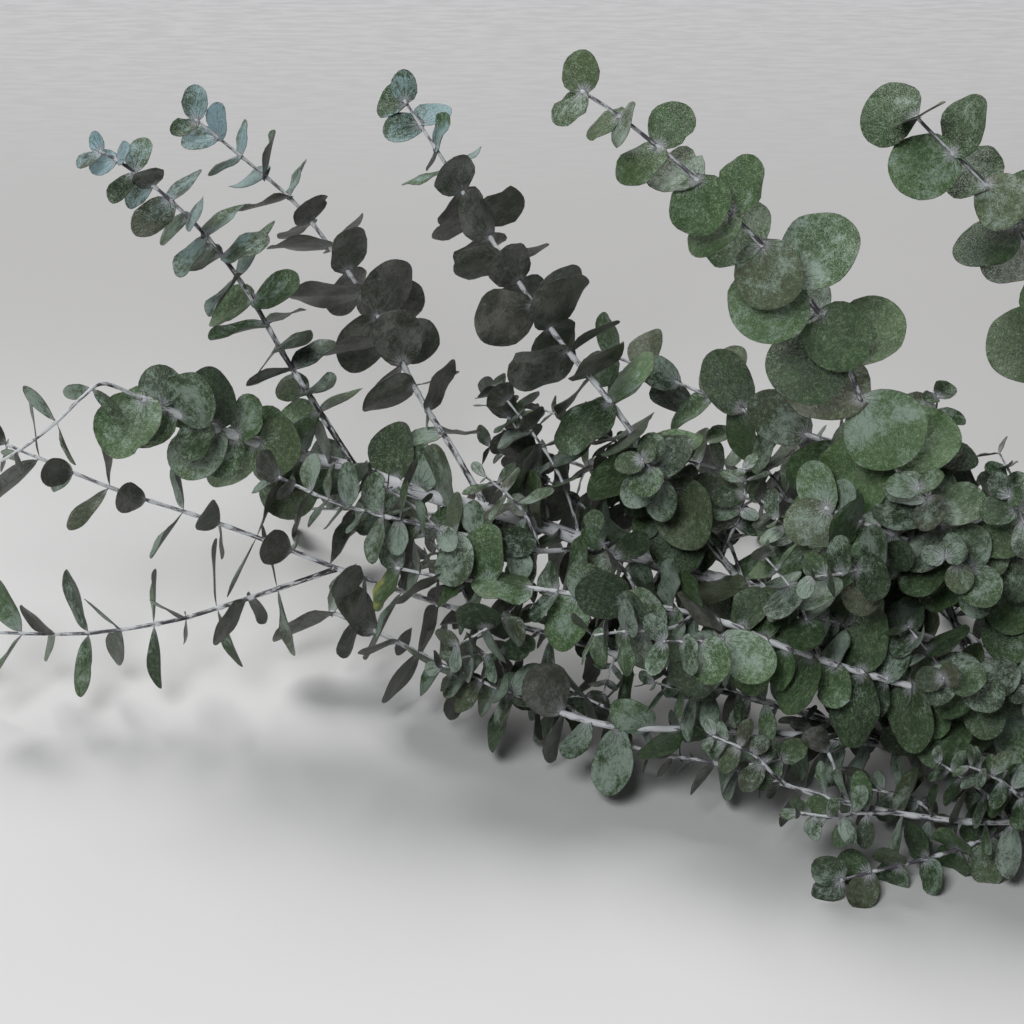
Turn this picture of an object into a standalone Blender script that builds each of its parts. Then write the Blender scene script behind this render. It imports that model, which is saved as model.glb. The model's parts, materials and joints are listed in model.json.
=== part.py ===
"""A eucalyptus branch, cut from the tree and laid down: a bare cut stem that forks into leafy shoots.

The branch lies along X with its cut end at +X. Its shoots spread in a fan that leans back from the
vertical, and the lowest ones lie on the surface. Every shoot is one solid: a tapered stem with its
leaves fused to it in crossed pairs. The shoots stand a hair clear of the stem that each grows from.
"""
import math
import random
from typing import NamedTuple

import bmesh
import bpy
from mathutils import Matrix, Vector
from mathutils.bvhtree import BVHTree

MM = 0.001

# Materials: colour and roughness
BARK = ((0.45, 0.42, 0.41), 0.8)
FOLIAGE = ((0.23, 0.29, 0.22), 0.6)

# The fan of shoots. A route's point is (x, rise, depth) in mm: along the branch, up the leaning fan
# and back behind it.
LEAN = math.radians(30)
FAN = Matrix((
    (1, 0, 0),
    (0, math.sin(LEAN), math.cos(LEAN)),
    (0, math.cos(LEAN), -math.sin(LEAN)),
))
FRONT = Vector((0, -math.cos(LEAN), math.sin(LEAN)))
UP = Vector((0, 0, 1))

# Stems
STEM_STEP = 32 * MM         # length of one straight run of a stem
CURVE_PARTS = 12            # parts of the curve between two points of a route
JOINT_GAP = 0.3 * MM        # between a shoot and the stem that it grows from
FIRST_RUN = 4               # least length of a stem's first run, in radii of its root
WELD = 0.01 * MM            # corners of a stem's caps that are closer than this are one
ROUNDING = ((5 * MM, 3), (3 * MM, 2), (1.9 * MM, 1), (0, 0))    # bevel_resolution from a root radius up
FLAT_CUTTER = Vector((320, 100, 100)) * MM      # block that cuts the flat under the trunk's cut end

# Leaves
BLADE = 0.7 * MM            # thickness
NECK = 0.6 * MM             # half the width where a leaf leaves its stem
SINK = 1.5 * MM             # how far a leaf's root is sunk in its stem, at most
LEAST_ROOT = 0.2            # least distance of a leaf's root from the stem's axis, in radii
LAST_NODE = 0.997           # where the last pair grows, as a share of the stem
CROWDED = 0.05 * MM         # corners of a fused solid that are closer than this are one
CLEAR = 0.55 * MM           # least gap between a leaf and what isn't its own shoot
LARGE = 40 * MM             # a leaf this long has the finer outline
# Outlines: share of the length, share of the width there
FINE_OUTLINE = ((0.0, 0.0), (0.22, 0.80), (0.60, 0.97), (1.0, 0.34))
PLAIN_OUTLINE = ((0.0, 0.0), (0.34, 0.97), (1.0, 0.48))
NODE_TURN = math.radians(90)        # each pair of leaves is crossed with the one below it
CROWDING = 0.35             # how far the gaps between pairs follow the length of the leaves
SPREAD = 0.8                # how far a turned blade is laid over into the plane of the fan
TIP_REACH = 0.5             # how much more the leaves at the tip point forward

# Ways round a neighbour: (swing round the stem, twist of the blade) in degrees, then sizes
DODGES = ((0, 0), (14, 0), (-14, 0), (0, 20), (0, -20), (25, 12), (-25, -12), (36, -20), (-36, 20))
SHRINKS = (1.0, 0.86, 0.72)


class Shoot(NamedTuple):
    """One leafy stem. Lengths are in mm. Three values are low on it, half way up and at its tip."""
    name: str
    parent: str
    radii: tuple        # at the root and at the tip
    taper: float        # 1 tapers evenly, more keeps the stem thick for longer
    pairs: int          # pairs of leaves
    bare: float         # share of the stem with no leaves, at its root
    leaves: tuple       # length of a leaf
    breadth: float      # width of a leaf over its length
    turn: tuple         # 0 sets blades square to the stem, 1 turns them to the front
    hang: tuple         # how far a leaf at the front hangs down over the stem
    roll: float         # degrees round the stem of the first pair
    route: tuple


TRUNK = Shoot("trunk", "", (7.5, 5.2), 1, 0, 1, (0, 0, 0), 0, (0, 0, 0), (0, 0, 0), 0, (
    (785, 61, 93), (745, 66, 102), (709, 73, 104), (630, 94, 101), (557, 118, 104)))

SHOOTS = (
    Shoot("upper_shoot_4", "leader", (2.2, 0.9), 1, 13, 0.12,
          (41, 39, 22), 1.08, (0.6, 0.6, 0.4), (1.1, 1.0, 0.5), 12, (
        (508, 134, 113), (488, 182, 91), (473, 212, 69), (452, 254, 36), (435, 290, 14),
        (413, 320, -11), (380, 352, -44), (357, 373, -57), (337, 389, -61), (320, 402, -64),
        (304, 412, -69))),
    Shoot("upper_shoot_5", "right_back_shoot", (2.1, 0.9), 1, 10, 0.12,
          (39, 39, 29), 1.08, (0.6, 0.6, 0.5), (1.0, 0.9, 0.5), 8, (
        (602, 131, 102), (589, 192, 77), (567, 264, 48), (537, 331, 29), (512, 369, 14),
        (488, 389, -3), (472, 405, -6))),
    Shoot("upper_shoot_3", "leader", (2.0, 0.8), 1, 18, 0.08,
          (36, 33, 20), 1.04, (0.7, 0.0, 0.7), (1.0, 0.0, 0.1), 20, (
        (393, 167, 119), (368, 198, 97), (339, 239, 80), (317, 269, 80), (296, 295, 96),
        (275, 326, 120), (253, 362, 147), (235, 393, 168), (221, 415, 177), (212, 429, 178))),
    Shoot("upper_shoot_2", "leader", (1.7, 0.8), 1, 15, 0.08,
          (26, 38, 19), 0.86, (0.6, 0.0, 0.5), (0.5, 0.0, 0.1), 35, (
        (257, 208, 135), (240, 238, 142), (221, 268, 166), (199, 310, 208), (177, 343, 240),
        (150, 378, 258), (119, 405, 258), (95, 424, 246))),
    Shoot("upper_shoot_1", "leader", (1.7, 0.8), 1, 15, 0.08,
          (27, 35, 14), 0.78, (0.2, 0.2, 0.5), (0.1, 0.0, 0.0), 30, (
        (187, 230, 147), (167, 262, 135), (150, 289, 130), (131, 322, 128), (111, 350, 118),
        (88, 373, 108), (65, 390, 100), (55, 395, 95))),
    Shoot("leader", "trunk", (4.0, 1.5), 5, 19, 0.06,
          (33, 32, 36), 1.06, (0.5, 0.4, 0.7), (0.6, 0.4, 0.0), 20, (
        (557, 118, 104), (508, 134, 113), (448, 149, 112), (393, 167, 119), (332, 184, 120),
        (279, 202, 133), (257, 208, 135), (218, 218, 140), (187, 230, 147), (151, 239, 140),
        (108, 253, 111), (78, 266, 80))),
    Shoot("leader_end", "leader", (1.1, 0.7), 1, 4, 0.08,
          (26, 24, 21), 0.36, (0.1, 0.1, 0.1), (0.0, 0.0, 0.0), 70, (
        (78, 266, 80), (60, 273, 62), (50, 266, 51), (36, 252, 45), (18, 238, 40), (-4, 226, 38))),
    Shoot("left_shoot", "low_shoot", (2.0, 0.8), 1, 22, 0.05,
          (32, 36, 33), 0.56, (0.3, 0.2, 0.1), (0.3, 0.1, 0.0), 10, (
        (467, 87, 70), (418, 104, 76), (365, 118, 86), (314, 136, 98), (264, 150, 102),
        (229, 160, 108), (184, 175, 120), (137, 193, 127), (103, 205, 132), (60, 219, 131),
        (28, 232, 135), (1, 243, 141))),
    Shoot("left_side_shoot", "left_shoot", (1.4, 0.8), 1, 10, 0.08,
          (40, 37, 37), 0.46, (0.4, 0.3, 0.3), (0.3, 0.0, 0.0), 10, (
        (177, 177, 121), (151, 168, 135), (117, 157, 145), (89, 149, 149), (51, 143, 149),
        (23, 142, 147), (-8, 143, 145))),
    Shoot("low_shoot", "trunk", (3.4, 1.0), 1, 15, 0.10,
          (36, 33, 33), 0.80, (0.4, 0.4, 0.3), (0.7, 0.4, 0.2), 20, (
        (682, 80, 103), (617, 74, 74), (555, 77, 64), (517, 80, 63), (467, 87, 70),
        (423, 91, 76), (374, 94, 80), (321, 96, 86), (279, 108, 108), (239, 123, 134),
        (199, 142, 166), (172, 153, 186))),
    Shoot("front_shoot", "trunk", (2.6, 0.9), 1, 13, 0.10,
          (30, 28, 16), 0.62, (0.4, 0.3, 0.3), (0.4, 0.2, 0.0), 25, (
        (697, 76, 103), (624, 59, 54), (571, 52, 34), (522, 50, 24), (488, 51, 26), (445, 58, 36),
        (411, 67, 52), (377, 77, 68), (350, 81, 78), (332, 85, 88))),
    Shoot("front_side_shoot", "front_shoot", (1.5, 0.8), 1, 6, 0.20,
          (25, 22, 18), 0.92, (0.6, 0.6, 0.6), (0.3, 0.1, 0.0), 40, (
        (566, 51, 33), (521, 44, 31), (487, 33, 27), (457, 26, 22), (436, 21, 18))),
    Shoot("upper_side_shoot", "upper_shoot_4", (1.4, 0.8), 1, 8, 0.14,
          (34, 33, 25), 0.84, (0.6, 0.6, 0.6), (0.5, 0.4, 0.3), 30, (
        (472, 213, 67), (446, 237, 90), (406, 255, 117), (369, 271, 138), (344, 282, 145),
        (325, 290, 153))),
    Shoot("middle_front_shoot", "trunk", (2.4, 0.9), 1, 15, 0.10,
          (37, 34, 26), 0.92, (0.5, 0.5, 0.4), (0.8, 0.7, 0.4), 10, (
        (614, 98, 101), (564, 103, 66), (518, 108, 44), (463, 121, 34), (412, 137, 36),
        (367, 154, 52), (300, 165, 70), (236, 173, 80), (210, 178, 86))),
    Shoot("right_front_shoot", "trunk", (2.0, 0.9), 1, 9, 0.12,
          (38, 37, 28), 0.94, (0.6, 0.6, 0.5), (0.9, 0.8, 0.5), 15, (
        (593, 106, 102), (569, 141, 72), (533, 169, 58), (496, 184, 48), (458, 198, 43),
        (430, 209, 38))),
    Shoot("right_back_shoot", "trunk", (2.4, 0.9), 1, 8, 0.12,
          (36, 32, 26), 0.84, (0.4, 0.3, 0.3), (0.5, 0.4, 0.2), 20, (
        (624, 95, 101), (604, 127, 104), (583, 156, 102), (558, 179, 109), (528, 203, 127),
        (497, 224, 140), (479, 237, 143))),
    Shoot("leader_front_shoot", "leader", (1.5, 0.8), 1, 8, 0.10,
          (29, 28, 22), 0.74, (0.3, 0.3, 0.2), (0.5, 0.3, 0.1), 40, (
        (316, 189, 125), (279, 187, 99), (230, 199, 80), (203, 205, 75), (176, 213, 75),
        (149, 225, 77))),
    Shoot("leader_back_shoot_1", "leader", (1.5, 0.8), 1, 7, 0.12,
          (26, 24, 14), 0.75, (0.3, 0.3, 0.3), (0.2, 0.1, 0.0), 40, (
        (416, 160, 116), (370, 189, 152), (328, 222, 184), (290, 238, 193), (258, 243, 184))),
    Shoot("leader_back_shoot_2", "leader", (1.7, 0.8), 1, 8, 0.10,
          (32, 30, 24), 0.78, (0.3, 0.3, 0.3), (0.3, 0.1, 0.0), 15, (
        (526, 128, 110), (492, 160, 140), (453, 195, 185), (395, 226, 216), (348, 240, 219))),
    Shoot("leader_back_shoot_3", "leader", (1.7, 0.8), 1, 6, 0.12,
          (31, 30, 25), 0.78, (0.3, 0.2, 0.2), (0.2, 0.1, 0.0), 30, (
        (369, 173, 119), (318, 192, 192), (252, 203, 252), (196, 208, 296), (150, 209, 321))),
    Shoot("back_shoot_1", "trunk", (2.3, 0.9), 1, 6, 0.12,
          (34, 33, 26), 0.80, (0.3, 0.2, 0.2), (0.2, 0.1, 0.0), 25, (
        (656, 87, 102), (586, 138, 171), (513, 180, 247), (433, 208, 313), (378, 220, 346),
        (333, 228, 368))),
    Shoot("back_shoot_2", "trunk", (1.9, 0.9), 1, 5, 0.14,
          (33, 30, 25), 0.80, (0.3, 0.2, 0.2), (0.2, 0.1, 0.0), 10, (
        (645, 90, 102), (585, 160, 165), (526, 203, 211), (473, 236, 232), (429, 252, 241))),
)


def distances(points):
    """Distance of each point along the line through them all."""
    total = [0.0]
    for start, end in zip(points, points[1:]):
        total.append(total[-1] + (end - start).length)
    return total


class Stem(NamedTuple):
    """The axis of a stem from root to tip, with a radius at each point."""
    points: list
    radii: list

    def lengths(self):
        """Distance along the stem of each of its points."""
        return distances(self.points)

    def at(self, distance):
        """Place, direction and radius at a distance along the stem."""
        lengths = self.lengths()
        last = len(lengths) - 2
        run = next((i for i in range(last) if lengths[i + 1] >= distance), last)
        share = (distance - lengths[run]) / (lengths[run + 1] - lengths[run])
        place = self.points[run].lerp(self.points[run + 1], share)
        ahead = self.direction(run).lerp(self.direction(run + 1), share).normalized()
        return place, ahead, self.radii[run] + (self.radii[run + 1] - self.radii[run]) * share

    def direction(self, index):
        """Direction of the stem at one of its points."""
        before = self.points[max(index - 1, 0)]
        after = self.points[min(index + 1, len(self.points) - 1)]
        return (after - before).normalized()


class Leaf(NamedTuple):
    """A leaf blade: where it starts, which way it points and how it bends."""
    root: Vector
    along: Vector
    normal: Vector
    length: float
    width: float
    bend: float
    cup: float

    def point(self, along, across, width):
        """A point of the blade. It lies on the surface where it would otherwise go below it."""
        side = self.normal.cross(self.along)
        dip = self.bend * along ** 2 - self.cup * across ** 2 * width
        place = (self.root + self.along * (along * self.length)
                 + side * (across * width) - self.normal * (dip * self.length))
        place.z = max(place.z, BLADE / 2)
        return place

    def outline(self):
        """Stations along the blade, each with half of the width there."""
        stations = FINE_OUTLINE if self.length > LARGE else PLAIN_OUTLINE
        return [(along, max(share * self.width / 2, NECK)) for along, share in stations]


def smooth_route(route, step):
    """Evenly spaced points on a Catmull-Rom curve through a route's points."""
    knots = [FAN @ Vector(point) * MM for point in route]
    knots = [knots[0] * 2 - knots[1]] + knots + [knots[-1] * 2 - knots[-2]]
    fine = []
    for a, b, c, d in zip(knots, knots[1:], knots[2:], knots[3:]):
        for i in range(CURVE_PARTS):
            t = i / CURVE_PARTS
            fine.append(0.5 * (2 * b + (c - a) * t + (2 * a - 5 * b + 4 * c - d) * t ** 2
                               + (3 * b - a - 3 * c + d) * t ** 3))
    fine.append(knots[-2])
    track = Stem(fine, [0] * len(fine))
    total = track.lengths()[-1]
    runs = max(3, round(total / step))
    return [track.at(total * i / runs)[0] for i in range(runs + 1)]


def nearest(stem, place):
    """Distance from a stem's axis, with the stem's radius and direction there."""
    found = None
    for i, (start, end) in enumerate(zip(stem.points, stem.points[1:])):
        run = end - start
        share = min(max((place - start).dot(run) / run.length_squared, 0), 1)
        gap = (place - start - run * share).length
        if found is None or gap < found[0]:
            found = (gap, stem.radii[i] + (stem.radii[i + 1] - stem.radii[i]) * share, run.normalized())
    return found


def cut_back(points, radius, parent):
    """Move a shoot's root along its axis until it is clear of the stem that it grows from."""
    axis = Stem(points, [radius] * len(points))
    total = axis.lengths()[-1]
    at_end = (points[0] - parent.points[-1]).length < radius
    distance = 0.0
    while distance < total / 2:
        place, ahead, _ = axis.at(distance)
        if at_end:
            slant = (1 - ahead.dot(parent.direction(len(parent.points) - 1)) ** 2) ** 0.5
            if distance >= JOINT_GAP + slant * radius:
                break
        else:
            gap, parent_radius, run = nearest(parent, place)
            if gap - radius * abs(ahead.dot(run)) >= parent_radius + JOINT_GAP:
                break
        distance += JOINT_GAP / 2
    keep = [p for p, s in zip(points, axis.lengths()) if s > distance + FIRST_RUN * radius]
    return [place] + keep


def make_stem(shoot, parent):
    """The stem of a shoot, cut back from its parent."""
    points = smooth_route(shoot.route, STEM_STEP)
    root, tip = (r * MM for r in shoot.radii)
    if parent:
        points = cut_back(points, root, parent)
    lengths = distances(points)
    return Stem(points, [root + (tip - root) * (s / lengths[-1]) ** shoot.taper for s in lengths])


def make_stems():
    """Every stem by name. A parent is made before the shoots that grow from it."""
    stems = {TRUNK.name: make_stem(TRUNK, None)}
    waiting = list(SHOOTS)
    while waiting:
        shoot = waiting.pop(0)
        if shoot.parent in stems:
            stems[shoot.name] = make_stem(shoot, stems[shoot.parent])
        else:
            waiting.append(shoot)
    return stems


def curve_mesh(name, stem):
    """The solid of a stem, from a bevelled curve with filled caps."""
    curve = bpy.data.curves.new(name, "CURVE")
    curve.dimensions = "3D"
    curve.bevel_depth = 1.0
    curve.bevel_resolution = next(sides for radius, sides in ROUNDING if stem.radii[0] >= radius)
    curve.use_fill_caps = True
    spline = curve.splines.new("POLY")
    spline.points.add(len(stem.points) - 1)
    for point, place, radius in zip(spline.points, stem.points, stem.radii):
        point.co = (*place, 1)
        point.radius = radius
    source = bpy.data.objects.new(name + "_axis", curve)
    bpy.context.scene.collection.objects.link(source)
    bpy.context.view_layer.update()
    depsgraph = bpy.context.evaluated_depsgraph_get()
    mesh = bpy.data.meshes.new_from_object(source.evaluated_get(depsgraph))
    bpy.data.objects.remove(source)
    solid = bmesh.new()
    solid.from_mesh(mesh)
    bmesh.ops.remove_doubles(solid, verts=solid.verts, dist=WELD)
    bmesh.ops.recalc_face_normals(solid, faces=solid.faces)
    solid.to_mesh(mesh)
    solid.free()
    return mesh


def shell(leaf, pad, first):
    """Corners and faces of a closed blade, grown by a pad, from one of its stations to its tip."""
    corners = []
    for along, half in leaf.outline()[first:]:
        reach = along + (pad / leaf.length if along == 1 else 0)
        for across in (-1, 1):
            place = leaf.point(reach, across, half + pad)
            corners.append(place + leaf.normal * (BLADE / 2 + pad))
            corners.append(place - leaf.normal * (BLADE / 2 + pad))
    faces = [(0, 1, 3, 2)]
    for row in range(0, len(corners) - 4, 4):
        a, b, c, d, e, f, g, h = range(row, row + 8)
        faces += [(a, c, g, e), (b, f, h, d), (a, e, f, b), (c, d, h, g)]
    last = len(corners) - 4
    faces.append((last, last + 2, last + 3, last + 1))
    return corners, faces


class Placed:
    """What is placed already, so that a new leaf can be kept clear of it."""

    def __init__(self):
        self.things = []

    def add(self, owner, corners, faces, kind):
        low = Vector(map(min, zip(*corners)))
        high = Vector(map(max, zip(*corners)))
        self.things.append((owner, kind, low, high, BVHTree.FromPolygons(corners, faces)))

    def add_stem(self, owner, mesh):
        corners = [v.co.copy() for v in mesh.vertices]
        self.add(owner, corners, [tuple(p.vertices) for p in mesh.polygons], "stem")

    def add_leaf(self, owner, leaf):
        self.add(owner, *shell(leaf, 0, 0), "whole leaf")
        self.add(owner, *shell(leaf, 0, 1), "outer leaf")

    def is_clear(self, owner, leaf):
        """Whether a leaf clears all that isn't its shoot, and its outer part its own shoot."""
        whole = shell(leaf, CLEAR, 0)
        outer = shell(leaf, CLEAR, 1)
        low = Vector(map(min, zip(*whole[0])))
        high = Vector(map(max, zip(*whole[0])))
        trees = {True: BVHTree.FromPolygons(*outer), False: BVHTree.FromPolygons(*whole)}
        for other, kind, other_low, other_high, tree in self.things:
            own = other == owner
            if kind == ("whole leaf" if own else "outer leaf"):
                continue
            if any(low[i] > other_high[i] or high[i] < other_low[i] for i in range(3)):
                continue
            if trees[own].overlap(tree):
                return False
        return True


def along_shoot(values, share):
    """A value at a share of the way up a shoot, from those low on it, half way up and at its tip."""
    low, middle, tip = values
    if share < 0.5:
        return low + (middle - low) * 2 * share
    return middle + (tip - middle) * (2 * share - 1)


def leaf_on(shoot, draw, place, ahead, radius, angle, share, swing, twist, shrink):
    """One leaf at a node of its shoot, at an angle round the stem, dodging by swing and twist."""
    turn = along_shoot(shoot.turn, share)
    hang = along_shoot(shoot.hang, share)
    level = ahead.cross(FRONT).normalized()
    outward = Matrix.Rotation(angle + math.radians(swing), 3, ahead) @ level
    along = outward - FRONT * (outward.dot(FRONT) * SPREAD * turn)
    along += ahead * (draw["forward"] + TIP_REACH * share ** 3)
    along -= UP * (draw["droop"] + hang * max(outward.dot(FRONT), 0))
    along.normalize()
    length = shrink * draw["size"] * along_shoot(shoot.leaves, share) * MM
    root = place + outward * max(radius - SINK, LEAST_ROOT * radius)
    lowest = -(root.z + BLADE) / length
    if along.z < lowest:
        along.z = lowest
        along.normalize()
    normal = ahead * (1 - turn) + FRONT * turn + Vector(draw["lean"])
    normal = (normal - along * normal.dot(along)).normalized()
    normal = Matrix.Rotation(math.radians(twist), 3, along) @ normal
    width = length * shoot.breadth * draw["breadth"]
    return Leaf(root, along, normal, length, width, draw["bend"], draw["cup"])


def draw_leaf(source):
    """The small differences between one leaf and the next."""
    return {
        "angle": math.radians(source.uniform(-20, 20)),
        "size": source.uniform(0.84, 1.10),
        "breadth": source.uniform(0.88, 1.08),
        "forward": source.uniform(-0.15, 0.40),
        "droop": source.uniform(-0.05, 0.25),
        "lean": [source.uniform(-0.28, 0.28) for _ in range(3)],
        "bend": source.uniform(0.02, 0.12),
        "cup": source.uniform(-1.0, 2.0),
    }


def nodes_of(shoot):
    """Where each pair of leaves grows, as a share of the pairs and of the stem."""
    shares = [(k + 1) / shoot.pairs for k in range(shoot.pairs)]
    steps = [along_shoot(shoot.leaves, share) ** CROWDING for share in shares]
    reaches = [shoot.bare + (1 - shoot.bare) * sum(steps[:k + 1]) / sum(steps) for k in range(shoot.pairs)]
    return [(share, min(reach, LAST_NODE)) for share, reach in zip(shares, reaches)]


def grow_pair(shoot, stem, placed, source, share, reach, turn):
    """A pair of leaves at a node, each kept clear of all that is placed before it."""
    place, ahead, radius = stem.at(stem.lengths()[-1] * reach)
    pair = []
    for half_turn in (0, math.pi):
        draw = draw_leaf(source)
        angle = math.radians(shoot.roll) + turn + half_turn + draw["angle"]
        ways = ((*dodge, shrink) for shrink in SHRINKS for dodge in DODGES)
        tries = (leaf_on(shoot, draw, place, ahead, radius, angle, share, *way) for way in ways)
        leaf = next((leaf for leaf in tries if placed.is_clear(shoot.name, leaf)), None)
        if leaf:
            placed.add_leaf(shoot.name, leaf)
            pair.append(leaf)
    return pair


def place_leaves(stems, placed):
    """The leaves of every shoot, in crossed pairs."""
    leaves = {}
    for shoot in SHOOTS:
        source = random.Random(shoot.name)
        stem = stems[shoot.name]
        leaves[shoot.name] = []
        for k, (share, reach) in enumerate(nodes_of(shoot)):
            leaves[shoot.name] += grow_pair(shoot, stem, placed, source, share, reach, NODE_TURN * k)
    return leaves


def leaf_object(name, leaf):
    """A leaf as an open strip with Solidify. One that lies on the surface isn't flat from side to
    side, so it is split into triangles, alike on both faces."""
    strip = bmesh.new()
    rows = []
    for along, half in leaf.outline():
        rows.append([strip.verts.new(leaf.point(along, across, half)) for across in (-1, 1)])
    for (a, b), (c, d) in zip(rows, rows[1:]):
        strip.faces.new((a, b, d, c))
    if min(corner.co.z for corner in strip.verts) < BLADE:
        bmesh.ops.triangulate(strip, faces=strip.faces)
    mesh = bpy.data.meshes.new(name)
    strip.to_mesh(mesh)
    strip.free()
    blade = bpy.data.objects.new(name, mesh)
    solidify = blade.modifiers.new("thickness", "SOLIDIFY")
    solidify.thickness = BLADE
    solidify.offset = 0
    return blade


def evaluated_mesh(item):
    """The mesh of an object with its modifiers applied."""
    bpy.context.view_layer.update()
    depsgraph = bpy.context.evaluated_depsgraph_get()
    return bpy.data.meshes.new_from_object(item.evaluated_get(depsgraph))


def tidy_mesh(mesh):
    """Merge the crowded corners that a union leaves where a leaf meets its stem."""
    solid = bmesh.new()
    solid.from_mesh(mesh)
    bmesh.ops.remove_doubles(solid, verts=solid.verts, dist=CROWDED)
    spare = [corner for corner in solid.verts if len(corner.link_edges) == 2]
    bmesh.ops.dissolve_verts(solid, verts=spare)
    bmesh.ops.triangulate(solid, faces=solid.faces)
    solid.to_mesh(mesh)
    solid.free()


def fuse_leaves(item, leaves):
    """Join a shoot's leaves to its stem in one solid."""
    growth = bpy.data.collections.new(item.name + "_leaves")
    bpy.context.scene.collection.children.link(growth)
    for i, leaf in enumerate(leaves):
        growth.objects.link(leaf_object(f"{item.name}_leaf_{i}", leaf))
    union = item.modifiers.new("leaves", "BOOLEAN")
    union.operation = "UNION"
    union.operand_type = "COLLECTION"
    union.collection = growth
    union.solver = "EXACT"
    fused = evaluated_mesh(item)
    tidy_mesh(fused)
    item.modifiers.clear()
    item.data = fused
    for blade in list(growth.objects):
        bpy.data.objects.remove(blade)
    bpy.data.collections.remove(growth)


def cut_flat(item, stem, cutters):
    """Cut the flat on which the trunk's cut end rests."""
    end = stem.points[0]
    bpy.ops.mesh.primitive_cube_add(size=1, location=(end.x, end.y, -FLAT_CUTTER.z / 2))
    block = bpy.context.object
    block.name = "flat_cutter"
    block.scale = FLAT_CUTTER
    block.hide_render = True
    block.display_type = "WIRE"
    for home in list(block.users_collection):
        home.objects.unlink(block)
    cutters.objects.link(block)
    cut = item.modifiers.new("flat", "BOOLEAN")
    cut.operation = "DIFFERENCE"
    cut.object = block
    cut.solver = "EXACT"


def material(name, colour, roughness):
    made = bpy.data.materials.new(name)
    made.use_nodes = True
    surface = made.node_tree.nodes["Principled BSDF"]
    surface.inputs["Base Color"].default_value = (*colour, 1)
    surface.inputs["Roughness"].default_value = roughness
    surface.inputs["Metallic"].default_value = 0
    return made


def stand_on_origin(items):
    """Put the origin under the middle of the whole branch, on the surface that it lies on."""
    bpy.context.view_layer.update()
    corners = [item.matrix_world @ Vector(corner) for item in items for corner in item.bound_box]
    low = Vector(map(min, zip(*corners)))
    high = Vector(map(max, zip(*corners)))
    shift = Vector((-(low.x + high.x) / 2, -(low.y + high.y) / 2, 0))
    for item in items:
        item.location += shift
    return shift


def build():
    """Build the branch in an emptied scene."""
    for old in list(bpy.data.objects):
        bpy.data.objects.remove(old)
    branch = bpy.data.collections.new("eucalyptus_branch")
    cutters = bpy.data.collections.new("cutters")
    bpy.context.scene.collection.children.link(branch)
    bpy.context.scene.collection.children.link(cutters)
    bark = material("bark", *BARK)
    foliage = material("foliage", *FOLIAGE)

    stems = make_stems()
    placed = Placed()
    meshes = {}
    for name, stem in stems.items():
        meshes[name] = curve_mesh(name, stem)
        placed.add_stem(name, meshes[name])
    leaves = place_leaves(stems, placed)

    items = []
    for name, mesh in meshes.items():
        item = bpy.data.objects.new(name, mesh)
        branch.objects.link(item)
        if name == TRUNK.name:
            cut_flat(item, stems[name], cutters)
        else:
            fuse_leaves(item, leaves[name])
        item.data.materials.clear()
        item.data.materials.append(bark if name == TRUNK.name else foliage)
        items.append(item)
    shift = stand_on_origin(items)
    for block in cutters.objects:
        block.location += shift


build()
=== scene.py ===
"""How the eucalyptus branch looks: all its leaves, stems and bark, lying on a plain pale floor.

The shoots follow the routes of the solids, and their leaves the same rule and the same draws. Then
each leaf becomes a thin curved blade with a waved edge and each stem a round one with its nodes.
More leaves and short twigs, which the solids leave out, are added in the gaps.
"""
import json
import math
import random
from typing import NamedTuple

import bmesh
import bpy
import numpy as np
from mathutils import Matrix, Vector, noise
from mathutils.bvhtree import BVHTree

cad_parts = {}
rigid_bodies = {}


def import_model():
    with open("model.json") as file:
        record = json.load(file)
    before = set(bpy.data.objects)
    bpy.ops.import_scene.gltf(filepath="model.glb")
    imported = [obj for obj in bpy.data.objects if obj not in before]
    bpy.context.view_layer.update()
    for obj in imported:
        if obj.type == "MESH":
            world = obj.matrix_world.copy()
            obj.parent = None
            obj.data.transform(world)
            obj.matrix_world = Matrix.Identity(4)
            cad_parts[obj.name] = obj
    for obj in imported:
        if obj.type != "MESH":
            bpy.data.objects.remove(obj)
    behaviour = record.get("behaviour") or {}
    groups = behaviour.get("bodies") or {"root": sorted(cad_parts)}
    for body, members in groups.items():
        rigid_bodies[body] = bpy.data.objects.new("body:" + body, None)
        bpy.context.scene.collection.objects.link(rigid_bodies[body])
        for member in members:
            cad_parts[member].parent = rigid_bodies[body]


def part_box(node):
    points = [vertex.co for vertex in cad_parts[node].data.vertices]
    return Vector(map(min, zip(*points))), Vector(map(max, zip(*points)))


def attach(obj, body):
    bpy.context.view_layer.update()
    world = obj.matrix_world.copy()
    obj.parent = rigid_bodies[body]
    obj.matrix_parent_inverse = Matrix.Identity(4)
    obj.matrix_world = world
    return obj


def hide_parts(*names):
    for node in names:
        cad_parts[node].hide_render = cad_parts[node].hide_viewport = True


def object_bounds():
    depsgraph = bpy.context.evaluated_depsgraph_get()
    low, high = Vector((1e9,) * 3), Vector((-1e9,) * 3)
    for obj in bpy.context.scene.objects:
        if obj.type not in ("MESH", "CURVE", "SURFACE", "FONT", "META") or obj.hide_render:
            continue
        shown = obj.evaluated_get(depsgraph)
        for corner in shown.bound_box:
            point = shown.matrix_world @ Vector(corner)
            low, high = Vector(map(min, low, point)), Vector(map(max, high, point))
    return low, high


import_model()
CAD_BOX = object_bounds()

MM = 0.001
CM = 0.01

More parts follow.
